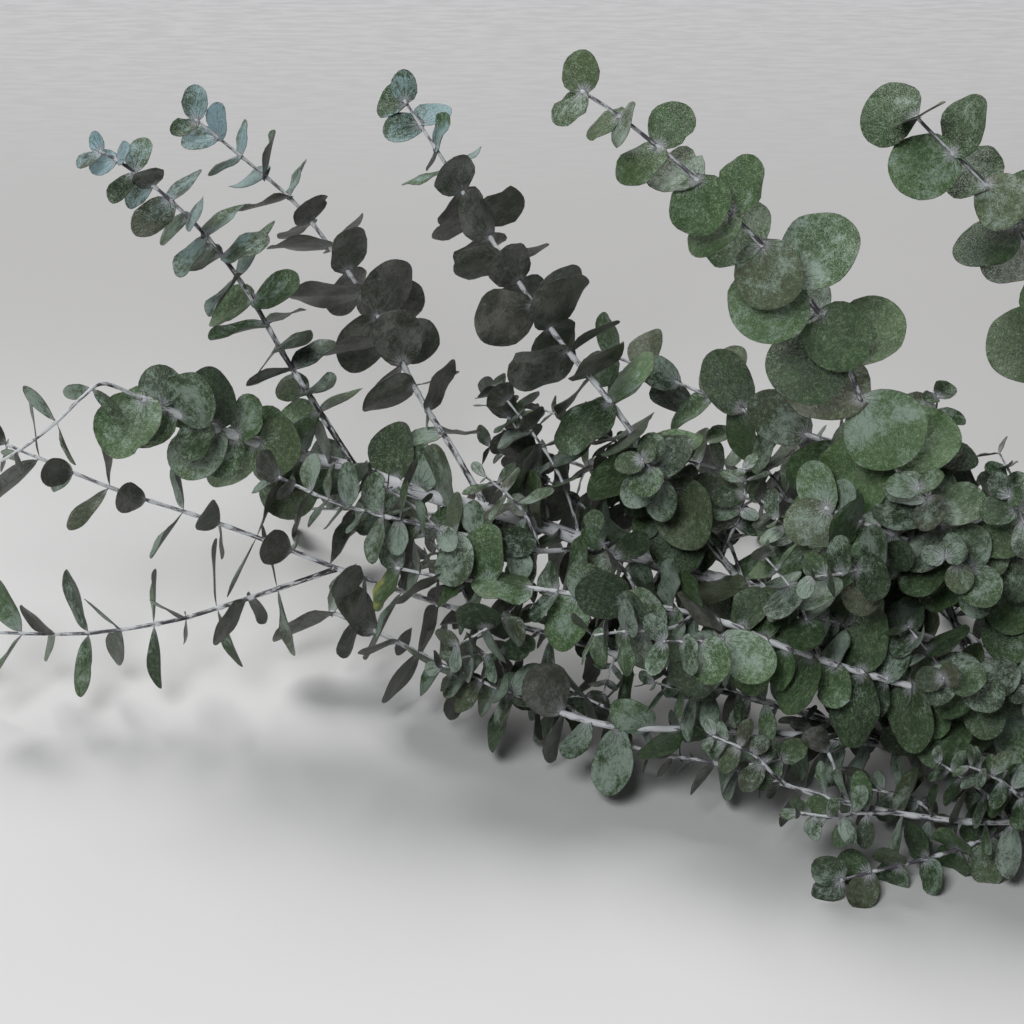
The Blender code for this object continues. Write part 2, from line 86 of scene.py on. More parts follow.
# The fan of shoots. A route's point is (x, rise, depth) in mm: along the branch, up the leaning fan
# and back behind it.
LEAN = math.radians(30)
FAN = Matrix((
    (1, 0, 0),
    (0, math.sin(LEAN), math.cos(LEAN)),
    (0, math.cos(LEAN), -math.sin(LEAN)),
))
FRONT = Vector((0, -math.cos(LEAN), math.sin(LEAN)))
UP = Vector((0, 0, 1))

# Stems
STEM_STEP = 32 * MM         # length of one straight run of a stem
CURVE_PARTS = 12            # parts of the curve between two points of a route
JOINT_GAP = 0.3 * MM        # between a shoot and the stem that it grows from
FIRST_RUN = 4               # least length of a stem's first run, in radii of its root
WELD = 0.01 * MM            # corners of a stem that are closer than this are one
ROUNDING = ((5 * MM, 3), (3 * MM, 2), (1.9 * MM, 1), (0, 0))    # bevel_resolution from a root radius up

# Leaves
BLADE = 0.7 * MM            # thickness
NECK = 0.6 * MM             # half the width where a leaf leaves its stem
SINK = 1.5 * MM             # how far a leaf's root is sunk in its stem, at most
LEAST_ROOT = 0.2            # least distance of a leaf's root from the stem's axis, in radii
LAST_NODE = 0.997           # where the last pair grows, as a share of the stem
CLEAR = 0.55 * MM           # least gap between a leaf and what isn't its own shoot
LARGE = 40 * MM             # a leaf this long has the finer outline
# Outlines: share of the length, share of the width there
FINE_OUTLINE = ((0.0, 0.0), (0.22, 0.80), (0.60, 0.97), (1.0, 0.34))
PLAIN_OUTLINE = ((0.0, 0.0), (0.34, 0.97), (1.0, 0.48))
NODE_TURN = math.radians(90)        # each pair of leaves is crossed with the one below it
CROWDING = 0.35             # how far the gaps between pairs follow the length of the leaves
SPREAD = 0.8                # how far a turned blade is laid over into the plane of the fan
TIP_REACH = 0.5             # how much more the leaves at the tip point forward

# Ways round a neighbour: (swing round the stem, twist of the blade) in degrees, then sizes
DODGES = ((0, 0), (14, 0), (-14, 0), (0, 20), (0, -20), (25, 12), (-25, -12), (36, -20), (-36, 20))
SHRINKS = (1.0, 0.86, 0.72)


class Shoot(NamedTuple):
    """One leafy stem. Lengths are in mm. Three values are low on it, half way up and at its tip."""
    name: str
    parent: str
    radii: tuple        # at the root and at the tip
    taper: float        # 1 tapers evenly, more keeps the stem thick for longer
    pairs: int          # pairs of leaves
    bare: float         # share of the stem with no leaves, at its root
    leaves: tuple       # length of a leaf
    breadth: float      # width of a leaf over its length
    turn: tuple         # 0 sets blades square to the stem, 1 turns them to the front
    hang: tuple         # how far a leaf at the front hangs down over the stem
    roll: float         # degrees round the stem of the first pair
    route: tuple


TRUNK = Shoot("trunk", "", (7.5, 5.2), 1, 0, 1, (0, 0, 0), 0, (0, 0, 0), (0, 0, 0), 0, (
    (785, 61, 93), (745, 66, 102), (709, 73, 104), (630, 94, 101), (557, 118, 104)))

SHOOTS = (
    Shoot("upper_shoot_4", "leader", (2.2, 0.9), 1, 13, 0.12,
          (41, 39, 22), 1.08, (0.6, 0.6, 0.4), (1.1, 1.0, 0.5), 12, (
        (508, 134, 113), (488, 182, 91), (473, 212, 69), (452, 254, 36), (435, 290, 14),
        (413, 320, -11), (380, 352, -44), (357, 373, -57), (337, 389, -61), (320, 402, -64),
        (304, 412, -69))),
    Shoot("upper_shoot_5", "right_back_shoot", (2.1, 0.9), 1, 10, 0.12,
          (39, 39, 29), 1.08, (0.6, 0.6, 0.5), (1.0, 0.9, 0.5), 8, (
        (602, 131, 102), (589, 192, 77), (567, 264, 48), (537, 331, 29), (512, 369, 14),
        (488, 389, -3), (472, 405, -6))),
    Shoot("upper_shoot_3", "leader", (2.0, 0.8), 1, 18, 0.08,
          (36, 33, 20), 1.04, (0.7, 0.0, 0.7), (1.0, 0.0, 0.1), 20, (
        (393, 167, 119), (368, 198, 97), (339, 239, 80), (317, 269, 80), (296, 295, 96),
        (275, 326, 120), (253, 362, 147), (235, 393, 168), (221, 415, 177), (212, 429, 178))),
    Shoot("upper_shoot_2", "leader", (1.7, 0.8), 1, 15, 0.08,
          (26, 38, 19), 0.86, (0.6, 0.0, 0.5), (0.5, 0.0, 0.1), 35, (
        (257, 208, 135), (240, 238, 142), (221, 268, 166), (199, 310, 208), (177, 343, 240),
        (150, 378, 258), (119, 405, 258), (95, 424, 246))),
    Shoot("upper_shoot_1", "leader", (1.7, 0.8), 1, 15, 0.08,
          (27, 35, 14), 0.78, (0.2, 0.2, 0.5), (0.1, 0.0, 0.0), 30, (
        (187, 230, 147), (167, 262, 135), (150, 289, 130), (131, 322, 128), (111, 350, 118),
        (88, 373, 108), (65, 390, 100), (55, 395, 95))),
    Shoot("leader", "trunk", (4.0, 1.5), 5, 19, 0.06,
          (33, 32, 36), 1.06, (0.5, 0.4, 0.7), (0.6, 0.4, 0.0), 20, (
        (557, 118, 104), (508, 134, 113), (448, 149, 112), (393, 167, 119), (332, 184, 120),
        (279, 202, 133), (257, 208, 135), (218, 218, 140), (187, 230, 147), (151, 239, 140),
        (108, 253, 111), (78, 266, 80))),
    Shoot("leader_end", "leader", (1.1, 0.7), 1, 4, 0.08,
          (26, 24, 21), 0.36, (0.1, 0.1, 0.1), (0.0, 0.0, 0.0), 70, (
        (78, 266, 80), (60, 273, 62), (50, 266, 51), (36, 252, 45), (18, 238, 40), (-4, 226, 38))),
    Shoot("left_shoot", "low_shoot", (2.0, 0.8), 1, 22, 0.05,
          (32, 36, 33), 0.56, (0.3, 0.2, 0.1), (0.3, 0.1, 0.0), 10, (
        (467, 87, 70), (418, 104, 76), (365, 118, 86), (314, 136, 98), (264, 150, 102),
        (229, 160, 108), (184, 175, 120), (137, 193, 127), (103, 205, 132), (60, 219, 131),
        (28, 232, 135), (1, 243, 141))),
    Shoot("left_side_shoot", "left_shoot", (1.4, 0.8), 1, 10, 0.08,
          (40, 37, 37), 0.46, (0.4, 0.3, 0.3), (0.3, 0.0, 0.0), 10, (
        (177, 177, 121), (151, 168, 135), (117, 157, 145), (89, 149, 149), (51, 143, 149),
        (23, 142, 147), (-8, 143, 145))),
    Shoot("low_shoot", "trunk", (3.4, 1.0), 1, 15, 0.10,
          (36, 33, 33), 0.80, (0.4, 0.4, 0.3), (0.7, 0.4, 0.2), 20, (
        (682, 80, 103), (617, 74, 74), (555, 77, 64), (517, 80, 63), (467, 87, 70),
        (423, 91, 76), (374, 94, 80), (321, 96, 86), (279, 108, 108), (239, 123, 134),
        (199, 142, 166), (172, 153, 186))),
    Shoot("front_shoot", "trunk", (2.6, 0.9), 1, 13, 0.10,
          (30, 28, 16), 0.62, (0.4, 0.3, 0.3), (0.4, 0.2, 0.0), 25, (
        (697, 76, 103), (624, 59, 54), (571, 52, 34), (522, 50, 24), (488, 51, 26), (445, 58, 36),
        (411, 67, 52), (377, 77, 68), (350, 81, 78), (332, 85, 88))),
    Shoot("front_side_shoot", "front_shoot", (1.5, 0.8), 1, 6, 0.20,
          (25, 22, 18), 0.92, (0.6, 0.6, 0.6), (0.3, 0.1, 0.0), 40, (
        (566, 51, 33), (521, 44, 31), (487, 33, 27), (457, 26, 22), (436, 21, 18))),
    Shoot("upper_side_shoot", "upper_shoot_4", (1.4, 0.8), 1, 8, 0.14,
          (34, 33, 25), 0.84, (0.6, 0.6, 0.6), (0.5, 0.4, 0.3), 30, (
        (472, 213, 67), (446, 237, 90), (406, 255, 117), (369, 271, 138), (344, 282, 145),
        (325, 290, 153))),
    Shoot("middle_front_shoot", "trunk", (2.4, 0.9), 1, 15, 0.10,
          (37, 34, 26), 0.92, (0.5, 0.5, 0.4), (0.8, 0.7, 0.4), 10, (
        (614, 98, 101), (564, 103, 66), (518, 108, 44), (463, 121, 34), (412, 137, 36),
        (367, 154, 52), (300, 165, 70), (236, 173, 80), (210, 178, 86))),
    Shoot("right_front_shoot", "trunk", (2.0, 0.9), 1, 9, 0.12,
          (38, 37, 28), 0.94, (0.6, 0.6, 0.5), (0.9, 0.8, 0.5), 15, (
        (593, 106, 102), (569, 141, 72), (533, 169, 58), (496, 184, 48), (458, 198, 43),
        (430, 209, 38))),
    Shoot("right_back_shoot", "trunk", (2.4, 0.9), 1, 8, 0.12,
          (36, 32, 26), 0.84, (0.4, 0.3, 0.3), (0.5, 0.4, 0.2), 20, (
        (624, 95, 101), (604, 127, 104), (583, 156, 102), (558, 179, 109), (528, 203, 127),
        (497, 224, 140), (479, 237, 143))),
    Shoot("leader_front_shoot", "leader", (1.5, 0.8), 1, 8, 0.10,
          (29, 28, 22), 0.74, (0.3, 0.3, 0.2), (0.5, 0.3, 0.1), 40, (
        (316, 189, 125), (279, 187, 99), (230, 199, 80), (203, 205, 75), (176, 213, 75),
        (149, 225, 77))),
    Shoot("leader_back_shoot_1", "leader", (1.5, 0.8), 1, 7, 0.12,
          (26, 24, 14), 0.75, (0.3, 0.3, 0.3), (0.2, 0.1, 0.0), 40, (
        (416, 160, 116), (370, 189, 152), (328, 222, 184), (290, 238, 193), (258, 243, 184))),
    Shoot("leader_back_shoot_2", "leader", (1.7, 0.8), 1, 8, 0.10,
          (32, 30, 24), 0.78, (0.3, 0.3, 0.3), (0.3, 0.1, 0.0), 15, (
        (526, 128, 110), (492, 160, 140), (453, 195, 185), (395, 226, 216), (348, 240, 219))),
    Shoot("leader_back_shoot_3", "leader", (1.7, 0.8), 1, 6, 0.12,
          (31, 30, 25), 0.78, (0.3, 0.2, 0.2), (0.2, 0.1, 0.0), 30, (
        (369, 173, 119), (318, 192, 192), (252, 203, 252), (196, 208, 296), (150, 209, 321))),
    Shoot("back_shoot_1", "trunk", (2.3, 0.9), 1, 6, 0.12,
          (34, 33, 26), 0.80, (0.3, 0.2, 0.2), (0.2, 0.1, 0.0), 25, (
        (656, 87, 102), (586, 138, 171), (513, 180, 247), (433, 208, 313), (378, 220, 346),
        (333, 228, 368))),
    Shoot("back_shoot_2", "trunk", (1.9, 0.9), 1, 5, 0.14,
          (33, 30, 25), 0.80, (0.3, 0.2, 0.2), (0.2, 0.1, 0.0), 10, (
        (645, 90, 102), (585, 160, 165), (526, 203, 211), (473, 236, 232), (429, 252, 241))),
)


def distances(points):
    """Distance of each point along the line through them all."""
    total = [0.0]
    for start, end in zip(points, points[1:]):
        total.append(total[-1] + (end - start).length)
    return total


class Stem(NamedTuple):
    """The axis of a stem from root to tip, with a radius at each point."""
    points: list
    radii: list

    def lengths(self):
        """Distance along the stem of each of its points."""
        return distances(self.points)

    def at(self, distance):
        """Place, direction and radius at a distance along the stem."""
        lengths = self.lengths()
        last = len(lengths) - 2
        run = next((i for i in range(last) if lengths[i + 1] >= distance), last)
        share = (distance - lengths[run]) / (lengths[run + 1] - lengths[run])
        place = self.points[run].lerp(self.points[run + 1], share)
        ahead = self.direction(run).lerp(self.direction(run + 1), share).normalized()
        return place, ahead, self.radii[run] + (self.radii[run + 1] - self.radii[run]) * share

    def direction(self, index):
        """Direction of the stem at one of its points."""
        before = self.points[max(index - 1, 0)]
        after = self.points[min(index + 1, len(self.points) - 1)]
        return (after - before).normalized()


class Leaf(NamedTuple):
    """A leaf blade: where it starts, which way it points and how it bends."""
    root: Vector
    along: Vector
    normal: Vector
    length: float
    width: float
    bend: float
    cup: float

    def point(self, along, across, width):
        """A point of the blade. It lies on the surface where it would otherwise go below it."""
        side = self.normal.cross(self.along)
        dip = self.bend * along ** 2 - self.cup * across ** 2 * width
        place = (self.root + self.along * (along * self.length)
                 + side * (across * width) - self.normal * (dip * self.length))
        place.z = max(place.z, BLADE / 2)
        return place

    def outline(self):
        """Stations along the blade, each with half of the width there."""
        stations = FINE_OUTLINE if self.length > LARGE else PLAIN_OUTLINE
        return [(along, max(share * self.width / 2, NECK)) for along, share in stations]


def smooth_route(route, step):
    """Evenly spaced points on a Catmull-Rom curve through a route's points."""
    knots = [FAN @ Vector(point) * MM for point in route]
    knots = [knots[0] * 2 - knots[1]] + knots + [knots[-1] * 2 - knots[-2]]
    fine = []
    for a, b, c, d in zip(knots, knots[1:], knots[2:], knots[3:]):
        for i in range(CURVE_PARTS):
            t = i / CURVE_PARTS
            fine.append(0.5 * (2 * b + (c - a) * t + (2 * a - 5 * b + 4 * c - d) * t ** 2
                               + (3 * b - a - 3 * c + d) * t ** 3))
    fine.append(knots[-2])
    track = Stem(fine, [0] * len(fine))
    total = track.lengths()[-1]
    runs = max(3, round(total / step))
    return [track.at(total * i / runs)[0] for i in range(runs + 1)]


def nearest(stem, place):
    """Distance from a stem's axis, with the stem's radius and direction there."""
    found = None
    for i, (start, end) in enumerate(zip(stem.points, stem.points[1:])):
        run = end - start
        share = min(max((place - start).dot(run) / run.length_squared, 0), 1)
        gap = (place - start - run * share).length
        if found is None or gap < found[0]:
            found = (gap, stem.radii[i] + (stem.radii[i + 1] - stem.radii[i]) * share, run.normalized())
    return found


def cut_back(points, radius, parent):
    """Move a shoot's root along its axis until it is clear of the stem that it grows from."""
    axis = Stem(points, [radius] * len(points))
    total = axis.lengths()[-1]
    at_end = (points[0] - parent.points[-1]).length < radius
    distance = 0.0
    while distance < total / 2:
        place, ahead, _ = axis.at(distance)
        if at_end:
            slant = (1 - ahead.dot(parent.direction(len(parent.points) - 1)) ** 2) ** 0.5
            if distance >= JOINT_GAP + slant * radius:
                break
        else:
            gap, parent_radius, run = nearest(parent, place)
            if gap - radius * abs(ahead.dot(run)) >= parent_radius + JOINT_GAP:
                break
        distance += JOINT_GAP / 2
    keep = [p for p, s in zip(points, axis.lengths()) if s > distance + FIRST_RUN * radius]
    return [place] + keep


def tapered(shoot, points):
    """The stem of a shoot through some points, from its root radius to that of its tip."""
    root, tip = (r * MM for r in shoot.radii)
    lengths = distances(points)
    return Stem(points, [root + (tip - root) * (s / lengths[-1]) ** shoot.taper for s in lengths])


def make_stem(shoot, parent):
    """The stem of a shoot, cut back from its parent."""
    points = smooth_route(shoot.route, STEM_STEP)
    if parent:
        points = cut_back(points, shoot.radii[0] * MM, parent)
    return tapered(shoot, points)


def make_stems():
    """Every stem by name. A parent is made before the shoots that grow from it."""
    stems = {TRUNK.name: make_stem(TRUNK, None)}
    waiting = list(SHOOTS)
    while waiting:
        shoot = waiting.pop(0)
        if shoot.parent in stems:
            stems[shoot.name] = make_stem(shoot, stems[shoot.parent])
        else:
            waiting.append(shoot)
    return stems


def curve_mesh(name, stem):
    """The solid of a stem, from a bevelled curve with filled caps."""
    curve = bpy.data.curves.new(name, "CURVE")
    curve.dimensions = "3D"
    curve.bevel_depth = 1.0
    curve.bevel_resolution = next(sides for radius, sides in ROUNDING if stem.radii[0] >= radius)
    curve.use_fill_caps = True
    spline = curve.splines.new("POLY")
    spline.points.add(len(stem.points) - 1)
    for point, place, radius in zip(spline.points, stem.points, stem.radii):
        point.co = (*place, 1)
        point.radius = radius
    source = bpy.data.objects.new(name + "_axis", curve)
    bpy.context.scene.collection.objects.link(source)
    bpy.context.view_layer.update()
    depsgraph = bpy.context.evaluated_depsgraph_get()
    mesh = bpy.data.meshes.new_from_object(source.evaluated_get(depsgraph))
    bpy.data.objects.remove(source)
    solid = bmesh.new()
    solid.from_mesh(mesh)
    bmesh.ops.remove_doubles(solid, verts=solid.verts, dist=WELD)
    bmesh.ops.recalc_face_normals(solid, faces=solid.faces)
    solid.to_mesh(mesh)
    solid.free()
    return mesh


def shell(leaf, pad, first):
    """Corners and faces of a closed blade, grown by a pad, from one of its stations to its tip."""
    corners = []
    for along, half in leaf.outline()[first:]:
        reach = along + (pad / leaf.length if along == 1 else 0)
        for across in (-1, 1):
            place = leaf.point(reach, across, half + pad)
            corners.append(place + leaf.normal * (BLADE / 2 + pad))
            corners.append(place - leaf.normal * (BLADE / 2 + pad))
    faces = [(0, 1, 3, 2)]
    for row in range(0, len(corners) - 4, 4):
        a, b, c, d, e, f, g, h = range(row, row + 8)
        faces += [(a, c, g, e), (b, f, h, d), (a, e, f, b), (c, d, h, g)]
    last = len(corners) - 4
    faces.append((last, last + 2, last + 3, last + 1))
    return corners, faces


def parts_of(mesh):
    """Corners and faces of a mesh, as a BVH tree takes them."""
    return [v.co.copy() for v in mesh.vertices], [tuple(p.vertices) for p in mesh.polygons]


class Placed:
    """What is placed already, so that a new leaf can be kept clear of it."""

    def __init__(self):
        self.things = []

    def add(self, owner, corners, faces, kind):
        low = Vector(map(min, zip(*corners)))
        high = Vector(map(max, zip(*corners)))
        self.things.append((owner, kind, low, high, BVHTree.FromPolygons(corners, faces)))

    def add_stem(self, owner, mesh):
        self.add(owner, *parts_of(mesh), "stem")

    def add_leaf(self, owner, leaf):
        self.add(owner, *shell(leaf, 0, 0), "whole leaf")
        self.add(owner, *shell(leaf, 0, 1), "outer leaf")

    def is_clear(self, owner, leaf):
        """Whether a leaf clears all that isn't its shoot, and its outer part its own shoot."""
        whole = shell(leaf, CLEAR, 0)
        outer = shell(leaf, CLEAR, 1)
        low = Vector(map(min, zip(*whole[0])))
        high = Vector(map(max, zip(*whole[0])))
        trees = {True: BVHTree.FromPolygons(*outer), False: BVHTree.FromPolygons(*whole)}
        for other, kind, other_low, other_high, tree in self.things:
            own = other == owner
            if kind == ("whole leaf" if own else "outer leaf"):
                continue
            if any(low[i] > other_high[i] or high[i] < other_low[i] for i in range(3)):
                continue
            if trees[own].overlap(tree):
                return False
        return True


def along_shoot(values, share):
    """A value at a share of the way up a shoot, from those low on it, half way up and at its tip."""
    low, middle, tip = values
    if share < 0.5:
        return low + (middle - low) * 2 * share
    return middle + (tip - middle) * (2 * share - 1)


def leaf_on(shoot, draw, place, ahead, radius, angle, share, swing, twist, shrink):
    """One leaf at a node of its shoot, at an angle round the stem, dodging by swing and twist."""
    turn = along_shoot(shoot.turn, share)
    hang = along_shoot(shoot.hang, share)
    level = ahead.cross(FRONT).normalized()
    outward = Matrix.Rotation(angle + math.radians(swing), 3, ahead) @ level
    along = outward - FRONT * (outward.dot(FRONT) * SPREAD * turn)
    along += ahead * (draw["forward"] + TIP_REACH * share ** 3)
    along -= UP * (draw["droop"] + hang * max(outward.dot(FRONT), 0))
    along.normalize()
    length = shrink * draw["size"] * along_shoot(shoot.leaves, share) * MM
    root = place + outward * max(radius - SINK, LEAST_ROOT * radius)
    lowest = -(root.z + BLADE) / length
    if along.z < lowest:
        along.z = lowest
        along.normalize()
    normal = ahead * (1 - turn) + FRONT * turn + Vector(draw["lean"])
    normal = (normal - along * normal.dot(along)).normalized()
    normal = Matrix.Rotation(math.radians(twist), 3, along) @ normal
    width = length * shoot.breadth * draw["breadth"]
    return Leaf(root, along, normal, length, width, draw["bend"], draw["cup"])


def draw_leaf(source):
    """The small differences between one leaf and the next."""
    return {
        "angle": math.radians(source.uniform(-20, 20)),
        "size": source.uniform(0.84, 1.10),
        "breadth": source.uniform(0.88, 1.08),
        "forward": source.uniform(-0.15, 0.40),
        "droop": source.uniform(-0.05, 0.25),
        "lean": [source.uniform(-0.28, 0.28) for _ in range(3)],
        "bend": source.uniform(0.02, 0.12),
        "cup": source.uniform(-1.0, 2.0),
    }


def nodes_of(shoot):
    """Where each pair of leaves grows, as a share of the pairs and of the stem."""
    shares = [(k + 1) / shoot.pairs for k in range(shoot.pairs)]
    steps = [along_shoot(shoot.leaves, share) ** CROWDING for share in shares]
    reaches = [shoot.bare + (1 - shoot.bare) * sum(steps[:k + 1]) / sum(steps) for k in range(shoot.pairs)]
    return [(share, min(reach, LAST_NODE)) for share, reach in zip(shares, reaches)]


def grow_pair(shoot, stem, placed, source, share, reach, turn):
    """A pair of leaves at a node, each kept clear of all that is placed before it."""
    place, ahead, radius = stem.at(stem.lengths()[-1] * reach)
    pair = []
    for half_turn in (0, math.pi):
        draw = draw_leaf(source)
        angle = math.radians(shoot.roll) + turn + half_turn + draw["angle"]
        ways = ((*dodge, shrink) for shrink in SHRINKS for dodge in DODGES)
        tries = (leaf_on(shoot, draw, place, ahead, radius, angle, share, *way) for way in ways)
        leaf = next((leaf for leaf in tries if placed.is_clear(shoot.name, leaf)), None)
        if leaf:
            placed.add_leaf(shoot.name, leaf)
            pair.append(leaf)
    return pair


def place_leaves(stems, placed):
    """The leaves of every shoot, in crossed pairs."""
    leaves = {}
    for shoot in SHOOTS:
        source = random.Random(shoot.name)
        stem = stems[shoot.name]
        leaves[shoot.name] = []
        for k, (share, reach) in enumerate(nodes_of(shoot)):
            leaves[shoot.name] += grow_pair(shoot, stem, placed, source, share, reach, NODE_TURN * k)
    return leaves


# Pieces that only the scene has

# Twigs: thin side shoots with small leaves, in the gaps between the shoots
TWIGS = (
    Shoot("twig_1", "upper_shoot_3", (1.0, 0.5), 1, 8, 0.15,
          (12, 15, 9), 0.72, (0.3, 0.3, 0.3), (0.2, 0.1, 0.0), 20, (
        (352, 221, 92), (335, 236, 106), (318, 248, 116), (300, 256, 124), (284, 262, 128))),
    Shoot("twig_2", "leader", (1.0, 0.5), 1, 7, 0.15,
          (12, 15, 9), 0.66, (0.3, 0.3, 0.3), (0.2, 0.1, 0.0), 40, (
        (350, 179, 120), (338, 160, 104), (330, 143, 98), (322, 127, 100), (318, 112, 106))),
    Shoot("twig_3", "right_back_shoot", (1.1, 0.5), 1, 7, 0.12,
          (19, 20, 12), 0.66, (0.4, 0.3, 0.3), (0.2, 0.1, 0.0), 10, (
        (570, 168, 105), (560, 188, 96), (545, 207, 92), (533, 222, 92), (524, 238, 95))),
)


class Twigs(NamedTuple):
    """Short side twigs along a stretch of a shoot, where the branch is dense. Lengths are in mm."""
    parent: str
    start: float        # where the first and the last grow, as shares of the shoot
    end: float
    count: int
    length: float
    leaf: float
    breadth: float      # width of a leaf over its length


SIDE_TWIGS = (
    Twigs("leader", 0.03, 0.60, 15, 84, 28, 0.85),
    Twigs("low_shoot", 0.06, 0.80, 14, 66, 24, 0.68),
    Twigs("front_shoot", 0.12, 0.80, 10, 56, 20, 0.66),
    Twigs("middle_front_shoot", 0.06, 0.86, 11, 62, 29, 0.88),
    Twigs("right_front_shoot", 0.06, 0.80, 7, 62, 30, 0.90),
    Twigs("right_back_shoot", 0.06, 0.55, 8, 72, 27, 0.85),
    Twigs("left_shoot", 0.05, 0.50, 6, 60, 23, 0.50),
    Twigs("leader_front_shoot", 0.10, 0.60, 2, 52, 22, 0.55),
    Twigs("leader_back_shoot_2", 0.08, 0.70, 5, 62, 24, 0.75),
    Twigs("leader_back_shoot_1", 0.10, 0.60, 3, 50, 20, 0.70),
    Twigs("upper_shoot_4", 0.03, 0.24, 4, 62, 27, 0.90),
    Twigs("upper_shoot_3", 0.03, 0.22, 3, 50, 24, 0.80),
    Twigs("back_shoot_1", 0.05, 0.45, 5, 70, 27, 0.80),
    Twigs("back_shoot_2", 0.05, 0.55, 4, 66, 26, 0.80),
)
GOLDEN_TURN = math.radians(137.5)   # from one side twig to the next, round their shoot
TWIG_SPLAY = math.radians(58)       # between a side twig's root and its shoot
TWIG_STEPS = 4                      # straight runs of a side twig
TWIG_WANDER = 0.12                  # how far a run strays from the twig's line
TWIG_STRAIGHTENING = 0.6            # how much of its splay it loses towards its tip
TWIG_TURNS = 6                      # ways round its shoot that a side twig is tried
TWIG_TURN_SPREAD = 0.3              # how far each of these strays, in radians
TWIG_PLACES = (0.2, 0.8)            # where it grows in its share of the stretch
TWIG_LENGTHS = (0.7, 1.15)          # over the length of its row
TWIG_LEAVES = (0.8, 1.15)           # size of its leaves over that of its row
TWIG_BREADTHS = (0.86, 1.14)        # the same for their breadth
TWIG_LEAF_TAPER = (1, 0.95, 0.55)   # size of its leaves at its root, half way up and at its tip
TWIG_FACING = (0.1, 0.6)            # how far they turn to the front
TWIG_HANG = (0.3, 0.2, 0.1)         # as in the shoots
TWIG_BARE = 0.16                    # share of it with no leaves, at its root
TWIG_PAIRS = 3                      # the fewest pairs of leaves
TWIG_RADII = (1.1, 0.5)             # in mm
TWIG_GAP = 4.5                      # between its pairs of leaves, in mm
TWIG_SPACING = 0.28                 # how much further apart its pairs are for each mm of leaf
TWIG_SWAY = 0.6                     # how far a pair strays from the crossed pattern, in radians
TWIG_ROOM = 8 * MM                  # between a side twig's axis and the faces of the branch's box


class Look(NamedTuple):
    """How a shoot looks."""
    tone: float = 0.42      # how fresh the green of its leaves is
    bloom: float = 0.40     # how much waxy bloom they carry
    young: float = 0.0      # how far down from the tip the blue ones reach, as a share of the shoot
    yellow: float = 0.01    # share of its leaves that are yellow
    pale: float = 0.5       # how pale its bark is
    more: int = 1           # pairs of leaves added between two nodes


LOOKS = {
    "upper_shoot_1": Look(0.30, 0.50, 0.62, 0.0, 0.25, 0),
    "upper_shoot_2": Look(0.36, 0.46, 0.50, 0.0, 0.60, 0),
    "upper_shoot_3": Look(0.44, 0.50, 0.30, 0.0, 0.70, 0),
    "upper_shoot_4": Look(0.54, 0.28, 0.0, 0.0, 0.35, 0),
    "upper_shoot_5": Look(0.44, 0.06, 0.0, 0.0, 0.35, 0),
    "upper_side_shoot": Look(0.40, 0.20, 0.0, 0.0, 0.50, 0),
    "leader": Look(0.46, 0.28, 0.0, 0.0, 0.85, 1),
    "leader_end": Look(0.35, 0.55, 0.0, 0.0, 0.75, 0),
    "left_shoot": Look(0.30, 0.66, 0.0, 0.0, 0.45, 0),
    "left_side_shoot": Look(0.34, 0.58, 0.0, 0.0, 0.35, 0),
    "leader_front_shoot": Look(0.40, 0.66, 0.0, 0.0, 0.50, 1),
    "leader_back_shoot_3": Look(0.30, 0.60, 0.0, 0.0, 0.40, 0),
    "low_shoot": Look(0.40, 0.66, 0.0, 0.0, 0.80, 1),
    "front_shoot": Look(0.38, 0.64, 0.0, 0.0, 0.60, 1),
    "front_side_shoot": Look(0.20, 0.14, 0.0, 0.0, 0.10, 0),
    "middle_front_shoot": Look(0.48, 0.40, 0.0, 0.05, 0.90, 1),
    "right_front_shoot": Look(0.50, 0.30, 0.0, 0.05, 0.85, 1),
}
PLAIN_LOOK = Look()
TWIG_LOOK = Look(0.32, 0.42, 0.0, 0.0, 0.45, 0)

# Differences between the leaves of a shoot
DULLEST = 0.8               # how much less bloom than the rest the barest leaves carry
DULL_TONE = 0.5             # how much less green they are for it
BLOOM_SPREAD = (-0.34, 0.44)
TONE_SPREAD = (-0.30, 0.36)
YELLOWS = (0.4, 0.9)        # how yellow a yellow leaf is
AGES = (0.5, 1.0)           # how blue a young leaf is, over what its place on the shoot gives

# Fine form of leaves
ROUND = 0.95                # a leaf of this breadth or more has the full form of a round one
NARROW = 0.60               # one of this breadth or less has no lobes and only small waves
ROW = 2.3 * MM              # between the corners of a blade along it
ROWS = (8, 18)              # the fewest and the most of them
COLUMN = 5.2 * MM           # between those across half of it
COLUMNS = (3, 6)
NICKED = 0.14               # share of the leaves with a nick in their edge
NICK_REACH = 0.035          # half of a nick's width, as a share of the blade
STALK = 0.8                 # half of a fine blade's width at its root, in necks of a plain one
TIP_WIDTH = 0.02            # half of its width at the tip, as a share of its width
EDGE_WAVES = (11, 23)       # coarse and fine unevenness of the edge, in radians over the blade
EDGE_FINE = 0.6             # depth of the fine one over the coarse one
SETTLED = 0.2               # folds and waves rise and fade over this share of the blade
CURL_START = 0.6            # from here on the tip curls
THIN_EDGE = 0.55            # thickness of the rim over that of the blade
EDGE_REACH = 2 * MM         # how far in from the rim it thins
THIN = 0.42 * MM            # thickness of a real blade
PETIOLE = 0.05              # share of a leaf's length that is its stalk
MORE_SIZE = 0.72            # size of an added leaf against its neighbours

